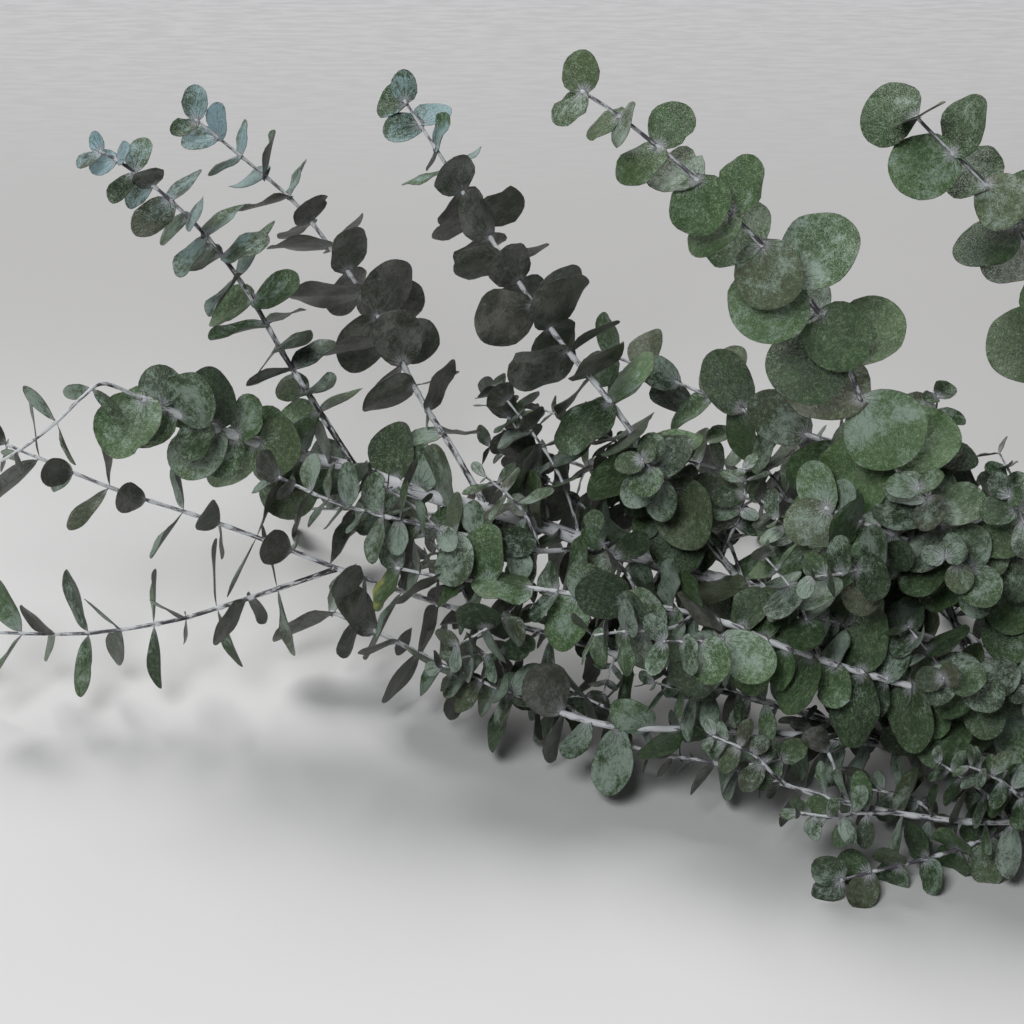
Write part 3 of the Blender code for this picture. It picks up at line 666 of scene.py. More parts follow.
# Fine form of stems
FINE_STEP = 2.5 * MM        # between the rings of a stem
SIDES = 9                   # round a stem
THICK_SIDES = 14            # round one with a root radius over THICK
THICK = 3                   # in mm
TRUNK_SIDES = 22
BARK_ROUGH = 0.06           # how uneven the bark is, as a share of the radius
TRUNK_ROUGH = 0.07
TRUNK_PALE = 0.4            # as in the looks of the shoots
LUMPS = (1.3, 6 * MM)       # large bumps of the bark: how many round the stem, length along it
GRAIN = (3, 2 * MM)         # and its small ones
GRAIN_SHARE = 0.4           # depth of the small bumps over the large ones
SWELL = 0.35                # how much thicker a thin stem is at a node
SWELL_RADIUS = 1.2 * MM     # a stem thicker than this swells less
SWELL_REACH = 1.4 * MM      # half the length of a node's swelling
TRUNK_SCARS = 8             # swollen scars of old leaves
SCAR_PLACES = (0.3, 0.7)    # where in its share of the trunk each lies
CUT_SIZE = 0.94             # radius of the bare wood at the cut over the stem's radius
CUT_DEPTH = 0.2             # how far the bark stands back from the cut, in steps of the stem
COLLAR = 0.35               # how much thicker a stem is where it leaves its parent
COLLAR_REACH = 2.5          # how far the collar reaches up a stem, in radii
SHARP = math.radians(50)    # edges bent more than this are shaded as edges


class Form:
    """The corners, faces and marks of a mesh that is put together from several bodies."""

    def __init__(self):
        self.corners = []
        self.faces = []
        self.marks = {}
        self.count = 0

    def add(self, corners, faces, **marks):
        self.corners.append(corners)
        self.faces.extend(tuple(i + self.count for i in face) for face in faces)
        self.count += len(corners)
        for name, values in marks.items():
            self.marks.setdefault(name, []).append(values)

    def piece(self, name, material):
        """An object that rides on the branch."""
        mesh = bpy.data.meshes.new(name)
        corners = np.concatenate(self.corners) + np.array(SHIFT)
        mesh.from_pydata(corners.tolist(), [], self.faces)
        for mark, values in self.marks.items():
            layer = mesh.attributes.new(mark, "FLOAT_VECTOR", "POINT")
            layer.data.foreach_set("vector", np.concatenate(values).astype(np.float32).ravel())
        mesh.shade_smooth()
        mesh.set_sharp_from_angle(angle=SHARP)
        mesh.materials.append(material)
        made = bpy.data.objects.new(name, mesh)
        bpy.context.scene.collection.objects.link(made)
        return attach(made, "root")


def grid_faces(rows, columns, start, flipped):
    """Quads of a grid of corners, row by row."""
    faces = []
    for i in range(rows):
        for j in range(columns):
            a = start + i * (columns + 1) + j
            face = (a, a + 1, a + columns + 2, a + columns + 1)
            faces.append(face[::-1] if flipped else face)
    return faces


def rim_faces(rows, columns):
    """Quads that join the edges of two like grids of corners, the second after the first."""
    wide = columns + 1
    under = (rows + 1) * wide
    loop = list(range(wide))
    loop += [i * wide + columns for i in range(1, rows + 1)]
    loop += [rows * wide + j for j in range(columns - 1, -1, -1)]
    loop += [i * wide for i in range(rows - 1, 0, -1)]
    return [(b, a, a + under, b + under) for a, b in zip(loop, loop[1:] + loop[:1])]


def draw_form(source, leaf, breadth):
    """The small differences of form between one fine blade and the next."""
    narrow = min(max((ROUND - breadth) / (ROUND - NARROW), 0), 1)
    return {
        "widest": source.uniform(0.80, 1.06) + 0.30 * narrow,
        "full": source.uniform(0.40, 0.47) + 0.04 * narrow,
        "lobe": source.uniform(0.08, 0.20) * (1 - narrow) ** 0.5,
        "fold": source.uniform(-0.05, 0.20) + 0.10 * narrow,
        "cup": source.uniform(-0.30, 0.34),
        "wave": source.uniform(0.5, 1.8) * (1 - 0.6 * narrow) * MM * leaf.length / (30 * MM),
        "waves": source.uniform(0.8, 1.9),
        "phase": source.uniform(0, math.tau),
        "ragged": source.uniform(0.006, 0.022),
        "twist": math.radians(source.uniform(-16, 16)),
        "curl": source.uniform(-0.03, 0.07),
        "nick": source.uniform(0.3, 0.9) if source.random() < NICKED else None,
        "nick_side": source.choice((-1, 1)),
        "nick_depth": source.uniform(0.05, 0.22),
    }


def half_widths(leaf, form, along, side):
    """Half of a blade's width at each of its corners, with an uneven edge and perhaps a nick."""
    blade_share = np.clip((along - PETIOLE) / (1 - PETIOLE), 0, 1)
    half = leaf.width / 2 * np.sin(np.pi * blade_share ** form["widest"]) ** form["full"]
    least = np.where(along < 0.5, STALK * NECK, TIP_WIDTH * leaf.width)
    half = np.maximum(np.nan_to_num(half), least)
    coarse = np.sin(along * EDGE_WAVES[0] + form["phase"] * (1 + side))
    fine = np.sin(along * EDGE_WAVES[1] + form["phase"] * side)
    half *= 1 + form["ragged"] * (coarse + EDGE_FINE * fine)
    if form["nick"]:
        near = np.exp(-((along - form["nick"]) / NICK_REACH) ** 2)
        half *= 1 - form["nick_depth"] * near * (side == form["nick_side"])
    return half


def heights(leaf, form, along, v, y, half):
    """How far a blade's corners stand above the plane of its root: bend, cup, fold, waves and curl."""
    settle = np.clip(along / SETTLED, 0, 1)
    fade = np.clip((1 - along) / SETTLED, 0, 1)
    height = -(leaf.bend * along ** 2 - leaf.cup * v ** 2 * half) * leaf.length
    height += form["fold"] * (np.abs(y) - half / 2) * settle
    height += form["cup"] * (y ** 2 / leaf.width - leaf.width / 12) * settle
    swing = np.sin(math.tau * form["waves"] * along + form["phase"] * (1.5 + np.sign(v)))
    height += form["wave"] * swing * v ** 2 * settle * fade
    height -= form["curl"] * leaf.length * np.clip(along - CURL_START, 0, 1) ** 2 * 4
    return height


def blade(leaf, form):
    """Corners of both faces of a fine blade, its faces, and each corner's place and edge distance."""
    rows = min(max(round(leaf.length / ROW), ROWS[0]), ROWS[1])
    columns = 2 * min(max(round(leaf.width / COLUMN), COLUMNS[0]), COLUMNS[1])
    stations = (1 - np.cos(np.linspace(0.0, np.pi, rows + 1))) / 2
    along, v = np.meshgrid(stations, np.linspace(-1, 1, columns + 1), indexing="ij")
    half = half_widths(leaf, form, along, np.sign(v))
    lobe = form["lobe"] * leaf.length * (1 - along) ** 3 * np.abs(v) ** 1.5 * (along > 0.01)
    x = along * leaf.length - lobe
    y = v * half
    turned = form["twist"] * along
    height = heights(leaf, form, along, v, y, half) + y * np.sin(turned)

    root, forward, normal = (np.array(w) for w in (leaf.root, leaf.along, leaf.normal))
    sideways = np.cross(normal, forward)
    across = (y * np.cos(turned))[..., None] * sideways
    middle = root + x[..., None] * forward + across + height[..., None] * normal
    middle[..., 2] = np.maximum(middle[..., 2], THIN / 2)
    down = np.gradient(middle, axis=0)
    over = np.gradient(middle, axis=1)
    outward = np.cross(down, over)
    outward /= np.maximum(np.linalg.norm(outward, axis=2, keepdims=True), 1e-12)
    edge = np.minimum((1 - np.abs(v)) * half, (1 - along) * leaf.length)
    thick = THIN / 2 * (THIN_EDGE + (1 - THIN_EDGE) * np.clip(edge / EDGE_REACH, 0, 1))[..., None]
    corners = np.concatenate([(middle + outward * thick).reshape(-1, 3),
                              (middle - outward * thick).reshape(-1, 3)])
    corners[:, 2] = np.maximum(corners[:, 2], 0)
    faces = grid_faces(rows, columns, 0, False)
    faces += grid_faces(rows, columns, (rows + 1) * (columns + 1), True)
    faces += rim_faces(rows, columns)
    flat = np.stack([x / CM, y / CM, edge / CM], axis=2).reshape(-1, 3)
    return corners, faces, np.concatenate([flat, flat])


def add_leaf(form, leaf, shape, bloom, age, yellow, tone, seed):
    """Adds a leaf to a form, with the marks that its material reads."""
    corners, faces, flat = blade(leaf, shape)
    count = len(corners)
    place = np.column_stack([flat[:, :2], np.full(count, seed)])
    under = np.repeat([0.0, 1.0], count // 2)
    form.add(
        corners, faces,
        leaf_place=place,
        leaf_edge=np.column_stack([flat[:, 2], under, np.full(count, tone)]),
        leaf_look=np.tile([bloom, age, yellow], (count, 1)))


def nearest_point(points, place):
    """The point of a line of points that is nearest to a place."""
    found = []
    for start, end in zip(points, points[1:]):
        run = end - start
        share = min(max((place - start).dot(run) / run.length_squared, 0), 1)
        found.append(start + run * share)
    return min(found, key=lambda point: (place - point).length)


def fine_stem(shoot):
    """The smooth axis of a shoot, from inside the stem that it grows from."""
    return tapered(shoot, smooth_route(shoot.route, FINE_STEP))


def ring_frames(stem):
    """Two directions across the stem at each of its points, without twisting along it."""
    frames = []
    across = stem.direction(0).orthogonal().normalized()
    for i in range(len(stem.points)):
        ahead = stem.direction(i)
        across = (across - ahead * across.dot(ahead)).normalized()
        frames.append((across, ahead.cross(across)))
    return frames


def bark_bump(angle, distance, shift, size):
    """How far the bark stands out at an angle round a stem and a distance along it."""
    around, length = size
    place = (math.cos(angle) * around, math.sin(angle) * around, distance / length + shift)
    return noise.noise(Vector(place))


def add_stem(form, stem, sides, nodes, source, rough, collar, pale):
    """Adds a round stem with a collar, swollen nodes, an uneven surface and a rounded tip."""
    lengths = stem.lengths()
    total = lengths[-1]
    shift = source.uniform(0, 50)
    rings = []
    places = []
    marks = []
    frames = ring_frames(stem)
    angles = [math.tau * i / sides for i in range(sides)]
    for index, (point, radius, s) in enumerate(zip(stem.points, stem.radii, lengths)):
        close = max([math.exp(-((s - node) / SWELL_REACH) ** 2) for node in nodes] or [0])
        swell = SWELL * close * min(1, SWELL_RADIUS / radius)
        size = radius * (1 + swell + collar * math.exp(-s / (COLLAR_REACH * stem.radii[0])))
        across, over = frames[index]
        for angle in angles:
            bump = bark_bump(angle, s, shift, LUMPS)
            fine = bark_bump(angle, s, shift, GRAIN)
            reach = size * (1 + rough * bump + GRAIN_SHARE * rough * fine)
            corner = point + (across * math.cos(angle) + over * math.sin(angle)) * reach
            corner.z = max(corner.z, 0)
            rings.append(corner)
            places.append((math.cos(angle) * radius / CM, math.sin(angle) * radius / CM, s / CM + shift))
            marks.append((close, s / total, pale))
    count = len(stem.points)
    end = stem.points[-1] + stem.direction(count - 1) * stem.radii[-1]
    rings.append(end)
    places.append((0, 0, total / CM + shift))
    marks.append((0, 1, pale))
    rings.append(stem.points[0])
    places.append((0, 0, shift))
    marks.append((0, 0, pale))
    faces = []
    for i in range(count - 1):
        for j in range(sides):
            k = (j + 1) % sides
            faces.append((i * sides + j, i * sides + k, (i + 1) * sides + k, (i + 1) * sides + j))
    last = (count - 1) * sides
    faces += [(last + j, last + (j + 1) % sides, count * sides) for j in range(sides)]
    faces += [((j + 1) % sides, j, count * sides + 1) for j in range(sides)]
    form.add(np.array(rings), faces, bark_place=np.array(places), bark_marks=np.array(marks))


# Materials

def srgb(red, green, blue):
    """A colour given as screen values from 0 to 255."""
    def linear(value):
        value /= 255
        return value / 12.92 if value <= 0.04045 else ((value + 0.055) / 1.055) ** 2.4
    return (linear(red), linear(green), linear(blue), 1)


DEEP = srgb(32, 50, 30)
FRESH = srgb(76, 110, 60)
FLECK = srgb(148, 172, 132)
# painted shade along the folds of a leaf
CREASE_SHADE = srgb(24, 28, 22)
GREY_BLOOM = srgb(150, 167, 155)
BLUE_BLOOM = srgb(156, 190, 202)
BROWN = srgb(84, 76, 64)
# undersides: their brown-grey tint, darkened further as painted shade
UNDERSIDE_SHADED = srgb(62, 64, 56)
UNDERSIDE_PALE_SHADED = srgb(112, 108, 106)
LILAC = srgb(196, 196, 204)
RIM = srgb(64, 56, 50)
YELLOW = srgb(186, 182, 92)
BARK_DARK = srgb(40, 35, 36)
BARK_PALE = srgb(204, 206, 208)
YOUNG_BARK = srgb(84, 82, 92)
WOOD = srgb(196, 176, 142)
WOOD_RING = srgb(150, 122, 92)
FLOOR = srgb(213, 213, 212)
# painted shade: the band of floor behind the branch
FLOOR_SHADE_BAND = srgb(196, 195, 194)
FLOOR_FAR = srgb(222, 222, 224)
FLOOR_LINE = srgb(208, 208, 210)


class Shader:
    """Short calls that add nodes to a material."""

    def __init__(self, name, roughness):
        self.material = bpy.data.materials.new(name)
        self.material.use_nodes = True
        self.tree = self.material.node_tree
        self.surface = self.tree.nodes["Principled BSDF"]
        self.surface.inputs["Roughness"].default_value = roughness

    def put(self, value, socket):
        if isinstance(value, bpy.types.NodeSocket):
            self.tree.links.new(value, socket)
        else:
            socket.default_value = value

    def add(self, kind, inputs, **settings):
        node = self.tree.nodes.new(kind)
        for name, value in settings.items():
            setattr(node, name, value)
        for name, value in inputs.items():
            self.put(value, node.inputs[name])
        return node

    def mark(self, name):
        """The three parts of a vector that each corner of the mesh carries, and the vector."""
        vector = self.add("ShaderNodeAttribute", {}, attribute_name=name).outputs["Vector"]
        return vector, *self.split(vector)

    def split(self, vector):
        parts = self.add("ShaderNodeSeparateXYZ", {"Vector": vector})
        return parts.outputs["X"], parts.outputs["Y"], parts.outputs["Z"]

    def math(self, operation, a, b=0.0, c=0.0):
        node = self.add("ShaderNodeMath", {0: a, 1: b}, operation=operation)
        if operation == "MULTIPLY_ADD":
            self.put(c, node.inputs[2])
        return node.outputs[0]

    def times(self, a, b):
        return self.math("MULTIPLY", a, b)

    def plus(self, value, share, more):
        """A value and a share of another."""
        return self.math("MULTIPLY_ADD", more, share, value)

    def vary(self, value, share, pattern):
        """A value that a pattern from 0 to 1 raises and lowers."""
        return self.plus(value, share, self.math("SUBTRACT", pattern, 0.5))

    def length(self, x, y):
        return self.math("SQRT", self.math("ADD", self.times(x, x), self.times(y, y)))

    def fall(self, value, low, high):
        """1 below the low value, 0 above the high one, and smooth between them."""
        return self.math("SUBTRACT", 1.0, self.smooth(value, low, high))

    def smooth(self, value, low, high):
        """0 below the low value, 1 above the high one, and smooth between them."""
        inputs = {"Value": value, "From Min": low, "From Max": high}
        return self.add("ShaderNodeMapRange", inputs, interpolation_type="SMOOTHSTEP").outputs["Result"]

    def mix(self, share, a, b):
        node = self.tree.nodes.new("ShaderNodeMix")
        node.data_type = "RGBA"
        self.put(share, node.inputs["Factor"])
        self.put(a, node.inputs[6])
        self.put(b, node.inputs[7])
        return node.outputs[2]

    def noise(self, vector, scale, detail, roughness=0.6):
        inputs = {"Vector": vector, "Scale": scale, "Detail": detail, "Roughness": roughness}
        return self.add("ShaderNodeTexNoise", inputs).outputs["Fac"]

    def stretch(self, vector, scale):
        return self.add("ShaderNodeMapping", {"Vector": vector, "Scale": scale}).outputs["Vector"]

    def bump(self, height, distance, strength):
        inputs = {"Height": height, "Distance": distance, "Strength": strength}
        self.put(self.add("ShaderNodeBump", inputs).outputs["Normal"], self.surface.inputs["Normal"])


def leaf_material():
    """Dark green leaves under a waxy bloom that is rubbed in rays from the base, with painted shade in
    dark lines along the folds there.
    """
    made = Shader("leaf", 0.5)
    place, x, y, seed = made.mark("leaf_place")
    _, edge, under, tone = made.mark("leaf_edge")
    _, bloom, young, yellow = made.mark("leaf_look")
    chance = made.add("ShaderNodeTexWhiteNoise", {"W": seed}, noise_dimensions="1D").outputs["Value"]

    patches = made.noise(place, 0.75, 2)
    mottle = made.noise(place, 4.5, 5, 0.75)
    speckle = made.noise(place, 17.0, 3)
    bend = made.math("SUBTRACT", made.noise(place, 1.6, 3), 0.5)
    cells = made.add("ShaderNodeTexVoronoi", {"Vector": place, "Scale": 6.0}, feature="DISTANCE_TO_EDGE")
    net = made.fall(cells.outputs["Distance"], 0.0, 0.10)

    # Dark lines of painted shade along the folds and rays that fan out from the base of the leaf, and its
    # worn base and rim
    reach = made.length(x, y)
    angle = made.math("MULTIPLY_ADD", bend, made.times(reach, 0.55), made.math("ARCTAN2", y, x))
    fan = made.math("PINGPONG", made.times(angle, 2.4), 0.5)
    crease_shade = made.fall(made.times(fan, reach), 0.008, 0.080)
    fading = made.fall(reach, 0.6, 2.4)
    crease_shade = made.times(crease_shade, made.times(fading, made.smooth(mottle, 0.38, 0.60)))
    polar = made.add("ShaderNodeCombineXYZ", {"X": angle, "Y": reach, "Z": seed}).outputs["Vector"]
    rays = made.noise(made.stretch(polar, (6.5, 1.1, 1.0)), 1.6, 4, 0.7)
    root = made.plus(reach, 0.9, made.math("SUBTRACT", 0.5, rays))
    base = made.fall(root, 0.04, 0.62)
    rim = made.fall(edge, 0.008, 0.036)

    # The green under the bloom
    green = made.mix(made.vary(tone, 0.9, patches), DEEP, FRESH)
    green = made.mix(made.times(made.smooth(chance, 0.62, 1.0), 0.50), green, BROWN)
    grain = made.plus(made.vary(mottle, 0.8, speckle), 0.07, net)
    flecks = made.times(made.smooth(grain, 0.42, 0.82), made.math("MULTIPLY_ADD", tone, 0.4, 0.38))
    green = made.mix(flecks, green, FLECK)

    # The bloom
    cover = made.vary(bloom, 2.8, patches)
    cover = made.vary(cover, 2.0, grain)
    cover = made.vary(cover, 1.8, rays)
    cover = made.plus(cover, 0.42, young)
    cover = made.plus(cover, 0.16, made.math("SUBTRACT", 1.2, reach))
    cover = made.smooth(cover, 0.10, 1.10)
    pale = made.mix(young, GREY_BLOOM, BLUE_BLOOM)
    colour = made.mix(made.times(cover, 0.84), green, pale)
    gold = made.plus(patches, 0.1, reach)
    colour = made.mix(made.times(yellow, made.smooth(gold, 0.62, 0.85)), colour, YELLOW)

    # The underside, in its brown-grey tint and darkened further as painted shade, and what marks both
    # sides
    back = made.vary(rays, 1.2, patches)
    back = made.smooth(made.plus(back, 0.6, mottle), 0.55, 1.05)
    back = made.mix(back, UNDERSIDE_SHADED, UNDERSIDE_PALE_SHADED)
    colour = made.mix(made.times(under, 0.80), colour, back)
    colour = made.mix(made.times(base, 0.65), colour, LILAC)
    # painted shade: near-black lines along the folds near the base
    colour = made.mix(made.times(crease_shade, 0.90), colour, CREASE_SHADE)
    colour = made.mix(made.times(rim, 0.70), colour, RIM)
    made.put(colour, made.surface.inputs["Base Color"])
    made.put(made.math("MULTIPLY_ADD", cover, 0.16, 0.36), made.surface.inputs["Roughness"])
    relief = made.plus(mottle, -0.30, net)
    relief = made.plus(relief, 3.0, patches)
    made.bump(relief, 0.6 * MM, 0.9)
    return made.material


def bark_material():
    """Stems with a pale bloom, rubbed off in dark patches and streaks."""
    made = Shader("bark", 0.8)
    place, _, _, _ = made.mark("bark_place")
    _, close, along, pale = made.mark("bark_marks")
    coarse = made.noise(made.stretch(place, (2.0, 2.0, 0.8)), 1.5, 5)
    streaks = made.noise(made.stretch(place, (9.0, 9.0, 1.1)), 1.0, 4)
    flecks = made.noise(place, 16.0, 3)
    cover = made.plus(made.times(coarse, 0.80), 0.70, streaks)
    cover = made.plus(cover, 0.30, flecks)
    cover = made.plus(cover, 0.25, close)
    cover = made.plus(cover, 0.24, pale)
    cover = made.smooth(cover, 0.93, 1.10)
    dark = made.mix(along, BARK_DARK, YOUNG_BARK)
    colour = made.mix(cover, dark, BARK_PALE)
    made.put(colour, made.surface.inputs["Base Color"])
    made.put(made.math("MULTIPLY_ADD", cover, 0.2, 0.62), made.surface.inputs["Roughness"])
    made.bump(made.plus(streaks, 0.5, flecks), 0.5 * MM, 0.6)
    return made.material


def wood_material():
    """The pale cut face of the stem, with its rings."""
    made = Shader("cut_wood", 0.75)
    place, x, y, _ = made.mark("bark_place")
    reach = made.length(x, y)
    grain = made.noise(place, 8.0, 4)
    rings = made.plus(made.times(reach, 6.0), 0.12, grain)
    rings = made.math("PINGPONG", rings, 0.5)
    colour = made.mix(made.smooth(rings, 0.30, 0.5), WOOD, WOOD_RING)
    colour = made.mix(made.smooth(reach, 0.62, 0.72), colour, BARK_DARK)
    made.put(colour, made.surface.inputs["Base Color"])
    made.bump(grain, 0.3 * MM, 0.5)
    return made.material


def floor_material():
    """Plain pale paper with a band of painted shade behind the branch, rippled far back."""
    made = Shader("floor", 0.7)
    place = made.add("ShaderNodeTexCoord", {}).outputs["Object"]
    _, y, _ = made.split(place)
    # a band of painted shade on the paper behind the branch
    behind = made.smooth(y, -0.85, -0.55)
    far = made.smooth(y, -0.50, 0.10)
    ripple = made.noise(made.stretch(place, (40, 230, 1)), 1.0, 3, 0.5)
    lines = made.mix(made.smooth(ripple, 0.36, 0.64), FLOOR_LINE, FLOOR_FAR)
    colour = made.mix(far, made.mix(behind, FLOOR, FLOOR_SHADE_BAND), lines)
    made.put(colour, made.surface.inputs["Base Color"])
    made.bump(made.times(ripple, far), 2.2 * MM, 0.6)
    return made.material


# Assembly

def young_share(look, share):
    """How young a leaf is, from 0 to 1, at a share of the way up its shoot."""
    if look.young <= 0:
        return 0.0
    return min(max((share - 1 + look.young) / look.young, 0), 1)


def grow_between(leaves, stems, placed):
    """Smaller pairs of leaves between the nodes of the shoots."""
    for shoot in SHOOTS:
        source = random.Random(shoot.name + " more")
        nodes = nodes_of(shoot)
        small = shoot._replace(leaves=tuple(length * MORE_SIZE for length in shoot.leaves))
        for k in range(LOOKS.get(shoot.name, PLAIN_LOOK).more * (len(nodes) - 1)):
            share = (nodes[k][0] + nodes[k + 1][0]) / 2
            reach = (nodes[k][1] + nodes[k + 1][1]) / 2
            leaves[shoot.name] += grow_pair(small, stems[shoot.name], placed, source, share, reach,
                                            NODE_TURN * (k + 0.5))


def in_room(route):
    """Whether a twig's route stays well inside the branch's box."""
    low, high = CAD_BOX
    for point in route:
        place = FAN @ Vector(point) * MM + SHIFT
        if any(place[i] < low[i] + TWIG_ROOM or place[i] > high[i] - TWIG_ROOM for i in range(3)):
            return False
    return True


def is_free(placed, parent, mesh):
    """Whether a twig's stem crosses nothing but the stem that it grows from."""
    tree = BVHTree.FromPolygons(*parts_of(mesh))
    for owner, kind, _, _, other in placed.things:
        if kind != "outer leaf" and not (owner == parent and kind == "stem") and tree.overlap(other):
            return False
    return True


def side_twig(row, index, stems, placed):
    """A side twig of a shoot with its stem, on the first free side, or None."""
    source = random.Random(f"{row.parent} twig {index}")
    parent = stems[row.parent]
    share = row.start + (row.end - row.start) * (index + source.uniform(*TWIG_PLACES)) / row.count
    place, ahead, _ = parent.at(parent.lengths()[-1] * share)
    length = row.length * source.uniform(*TWIG_LENGTHS) * MM
    level = ahead.cross(FRONT).normalized()
    for turn in range(TWIG_TURNS):
        angle = GOLDEN_TURN * (index + turn) + source.uniform(-TWIG_TURN_SPREAD, TWIG_TURN_SPREAD)
        outward = Matrix.Rotation(angle, 3, ahead) @ level
        points = [place]
        for step in range(TWIG_STEPS):
            splay = TWIG_SPLAY * (1 - TWIG_STRAIGHTENING * step / TWIG_STEPS)
            run = ahead * math.cos(splay) + outward * math.sin(splay)
            run += Vector(source.uniform(-TWIG_WANDER, TWIG_WANDER) for _ in range(3))
            points.append(points[-1] + run * length / TWIG_STEPS)
        route = tuple(tuple(FAN @ point / MM) for point in points)      # FAN is its own inverse
        pairs = max(TWIG_PAIRS, round(length / MM / (TWIG_GAP + TWIG_SPACING * row.leaf)))
        leaf = row.leaf * source.uniform(*TWIG_LEAVES)
        turned = source.uniform(*TWIG_FACING)
        breadth = row.breadth * source.uniform(*TWIG_BREADTHS)
        twig = Shoot(f"{row.parent}_twig_{index}", row.parent, TWIG_RADII, 1, pairs, TWIG_BARE,
                     tuple(leaf * size for size in TWIG_LEAF_TAPER), breadth,
                     (turned, turned, turned), TWIG_HANG, source.uniform(0, 90), route)
        if not in_room(route):
            continue
        stem = make_stem(twig, parent)
        mesh = curve_mesh(twig.name, stem)
        if is_free(placed, row.parent, mesh):
            placed.add_stem(twig.name, mesh)
            return twig, stem
    return None


def grow_twigs(leaves, stems, placed):
    """Adds the twigs with their stems and leaves, and gives those that found room."""
    grown = []
    for twig in TWIGS:
        stems[twig.name] = make_stem(twig, stems[twig.parent])
        placed.add_stem(twig.name, curve_mesh(twig.name, stems[twig.name]))
        grown.append(twig)
    for row in SIDE_TWIGS:
        for index in range(row.count):
            found = side_twig(row, index, stems, placed)
            if found:
                twig, stems[twig.name] = found
                grown.append(twig)
    for twig in grown:
        source = random.Random(twig.name)
        leaves[twig.name] = []
        for k, (share, reach) in enumerate(nodes_of(twig)):
            turn = NODE_TURN * k + source.uniform(-TWIG_SWAY, TWIG_SWAY)
            leaves[twig.name] += grow_pair(twig, stems[twig.name], placed, source, share, reach, turn)
    return grown


def add_leaves(form, shoot, leaves, stem, fine, look):
    """Adds all the leaves of a shoot to a form."""
    source = random.Random(shoot.name + " form")
    for leaf in leaves:
        coarse_place = nearest_point(stem.points, leaf.root)
        fine_place = nearest_point(fine.points, leaf.root)
        share = (coarse_place - stem.points[0]).length / (stem.points[-1] - stem.points[0]).length
        moved = leaf._replace(root=leaf.root + fine_place - coarse_place)
        shape = draw_form(source, leaf, shoot.breadth)
        dull = DULLEST * source.random() ** 3
        bloom = look.bloom + source.uniform(*BLOOM_SPREAD) - dull
        tone = look.tone + source.uniform(*TONE_SPREAD) - dull * DULL_TONE
        yellow = source.uniform(*YELLOWS) if source.random() < look.yellow else 0.0
        age = young_share(look, share) * source.uniform(*AGES)
        add_leaf(form, moved, shape, bloom, age, yellow, tone, source.uniform(0, 100))


def add_bark(form, shoot, fine, look):
    """Adds the stem of a shoot to a form."""
    source = random.Random(shoot.name + " bark")
    total = fine.lengths()[-1]
    sides = THICK_SIDES if shoot.radii[0] > THICK else SIDES
    nodes = [total * reach for _, reach in nodes_of(shoot)]
    add_stem(form, fine, sides, nodes, source, BARK_ROUGH, COLLAR, look.pale)


def dress(shoots, leaves, stems, look):
    """Forms of all the leaves of some shoots and of all their stems."""
    foliage = Form()
    wood = Form()
    for shoot in shoots:
        fine = fine_stem(shoot)
        add_leaves(foliage, shoot, leaves[shoot.name], stems[shoot.name], fine, look)
        add_bark(wood, shoot, fine, look)
    return foliage, wood


stems = make_stems()
placed = Placed()
meshes = {name: curve_mesh(name, stem) for name, stem in stems.items()}
for name, mesh in meshes.items():
    placed.add_stem(name, mesh)
own_corner = Vector(min(corner.co[i] for corner in meshes["trunk"].vertices) for i in range(3))
SHIFT = Vector((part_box("trunk")[0].x - own_corner.x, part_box("trunk")[0].y - own_corner.y, 0))
leaves = place_leaves(stems, placed)
grow_between(leaves, stems, placed)
twigs = grow_twigs(leaves, stems, placed)

LEAF = leaf_material()
BARK = bark_material()
CUT_WOOD = wood_material()
for shoot in SHOOTS:
    foliage, wood = dress([shoot], leaves, stems, LOOKS.get(shoot.name, PLAIN_LOOK))
    pieces = [foliage.piece(shoot.name + "_leaves", LEAF), wood.piece(shoot.name + "_stem", BARK)]
    for piece, slot in zip(pieces, ("foliage", "bark")):
        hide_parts(shoot.name)

for parent in sorted({twig.parent for twig in twigs}):
    foliage, wood = dress([twig for twig in twigs if twig.parent == parent], leaves, stems, TWIG_LOOK)
    foliage.piece(parent + "_twig_leaves", LEAF)
    wood.piece(parent + "_twigs", BARK)

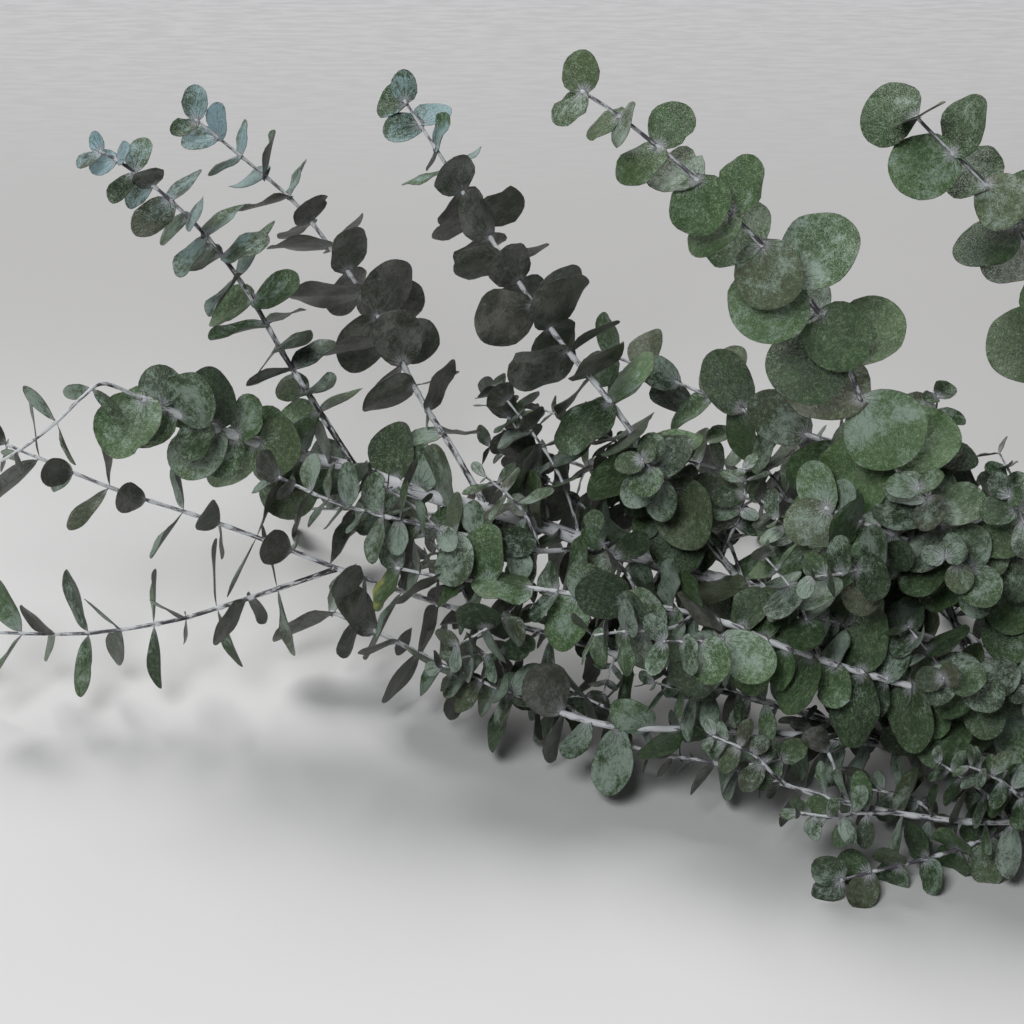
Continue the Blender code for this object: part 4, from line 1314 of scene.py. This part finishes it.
# The bark starts a hair behind the cut face, which is the end of a short plug
axis = fine_stem(TRUNK)
source = random.Random("trunk")
trunk_length = axis.lengths()[-1]
scars = [trunk_length * (k + source.uniform(*SCAR_PLACES)) / TRUNK_SCARS for k in range(TRUNK_SCARS)]
shell_axis = Stem([axis.points[0].lerp(axis.points[1], CUT_DEPTH)] + axis.points[1:], axis.radii)
plug_axis = Stem(axis.points[:2], [radius * CUT_SIZE for radius in axis.radii[:2]])
for name, material, line, nodes, rough in (
        ("trunk_bark", BARK, shell_axis, scars, TRUNK_ROUGH), ("trunk_cut", CUT_WOOD, plug_axis, [], 0.0)):
    form = Form()
    add_stem(form, line, TRUNK_SIDES, nodes, source, rough, 0, TRUNK_PALE)
    piece = form.piece(name, material)
    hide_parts("trunk")

# Floor, light and camera, in metres and watts. The sun's power is its strength.
FLOOR_SIZE = 8
FLOOR_CENTRE = (0, 1, 0)
SKY = (0.93, 0.96, 1.0, 1)
SKY_STRENGTH = 0.08
LIGHTS = (
    ("SUN", "window", (-0.8, 1.25, 1.65), 2.3, (1.0, 0.99, 0.985), {"angle": math.radians(31)}),
    ("AREA", "room", (-0.8, -2.2, 2.4), 58, (0.97, 0.985, 1.0), {"shape": "SQUARE", "size": 1.1}),
)
SENSOR_WIDTH = 36               # in mm, like the focal length
FOCAL_LENGTH = 166.8
VIEW_CENTRE = (270, 207, 120)   # on the fan
VIEW_DISTANCE = 2.5


def facing(name, data, place, direction):
    """A light or camera that looks along a direction."""
    made = bpy.data.objects.new(name, data)
    made.location = place
    made.rotation_euler = direction.to_track_quat("-Z", "Y").to_euler()
    bpy.context.scene.collection.objects.link(made)
    return made


bpy.ops.mesh.primitive_plane_add(size=FLOOR_SIZE, location=FLOOR_CENTRE)
floor = bpy.context.object
floor.name = "floor"
floor.data.materials.append(floor_material())

world = bpy.data.worlds.new("studio")
bpy.context.scene.world = world
world.use_nodes = True
world.node_tree.nodes["Background"].inputs["Color"].default_value = SKY
world.node_tree.nodes["Background"].inputs["Strength"].default_value = SKY_STRENGTH

for kind, name, place, power, colour, settings in LIGHTS:
    light = bpy.data.lights.new(name, kind)
    light.energy = power
    light.color = colour
    for setting, value in settings.items():
        setattr(light, setting, value)
    facing(name, light, place, -Vector(place))

camera = bpy.data.cameras.new("camera")
camera.sensor_width = SENSOR_WIDTH
camera.lens = FOCAL_LENGTH
eye_place = FAN @ Vector(VIEW_CENTRE) * MM + SHIFT + FRONT * VIEW_DISTANCE
bpy.context.scene.camera = facing("camera", camera, eye_place, -FRONT)
bpy.context.scene.view_settings.view_transform = "Standard"
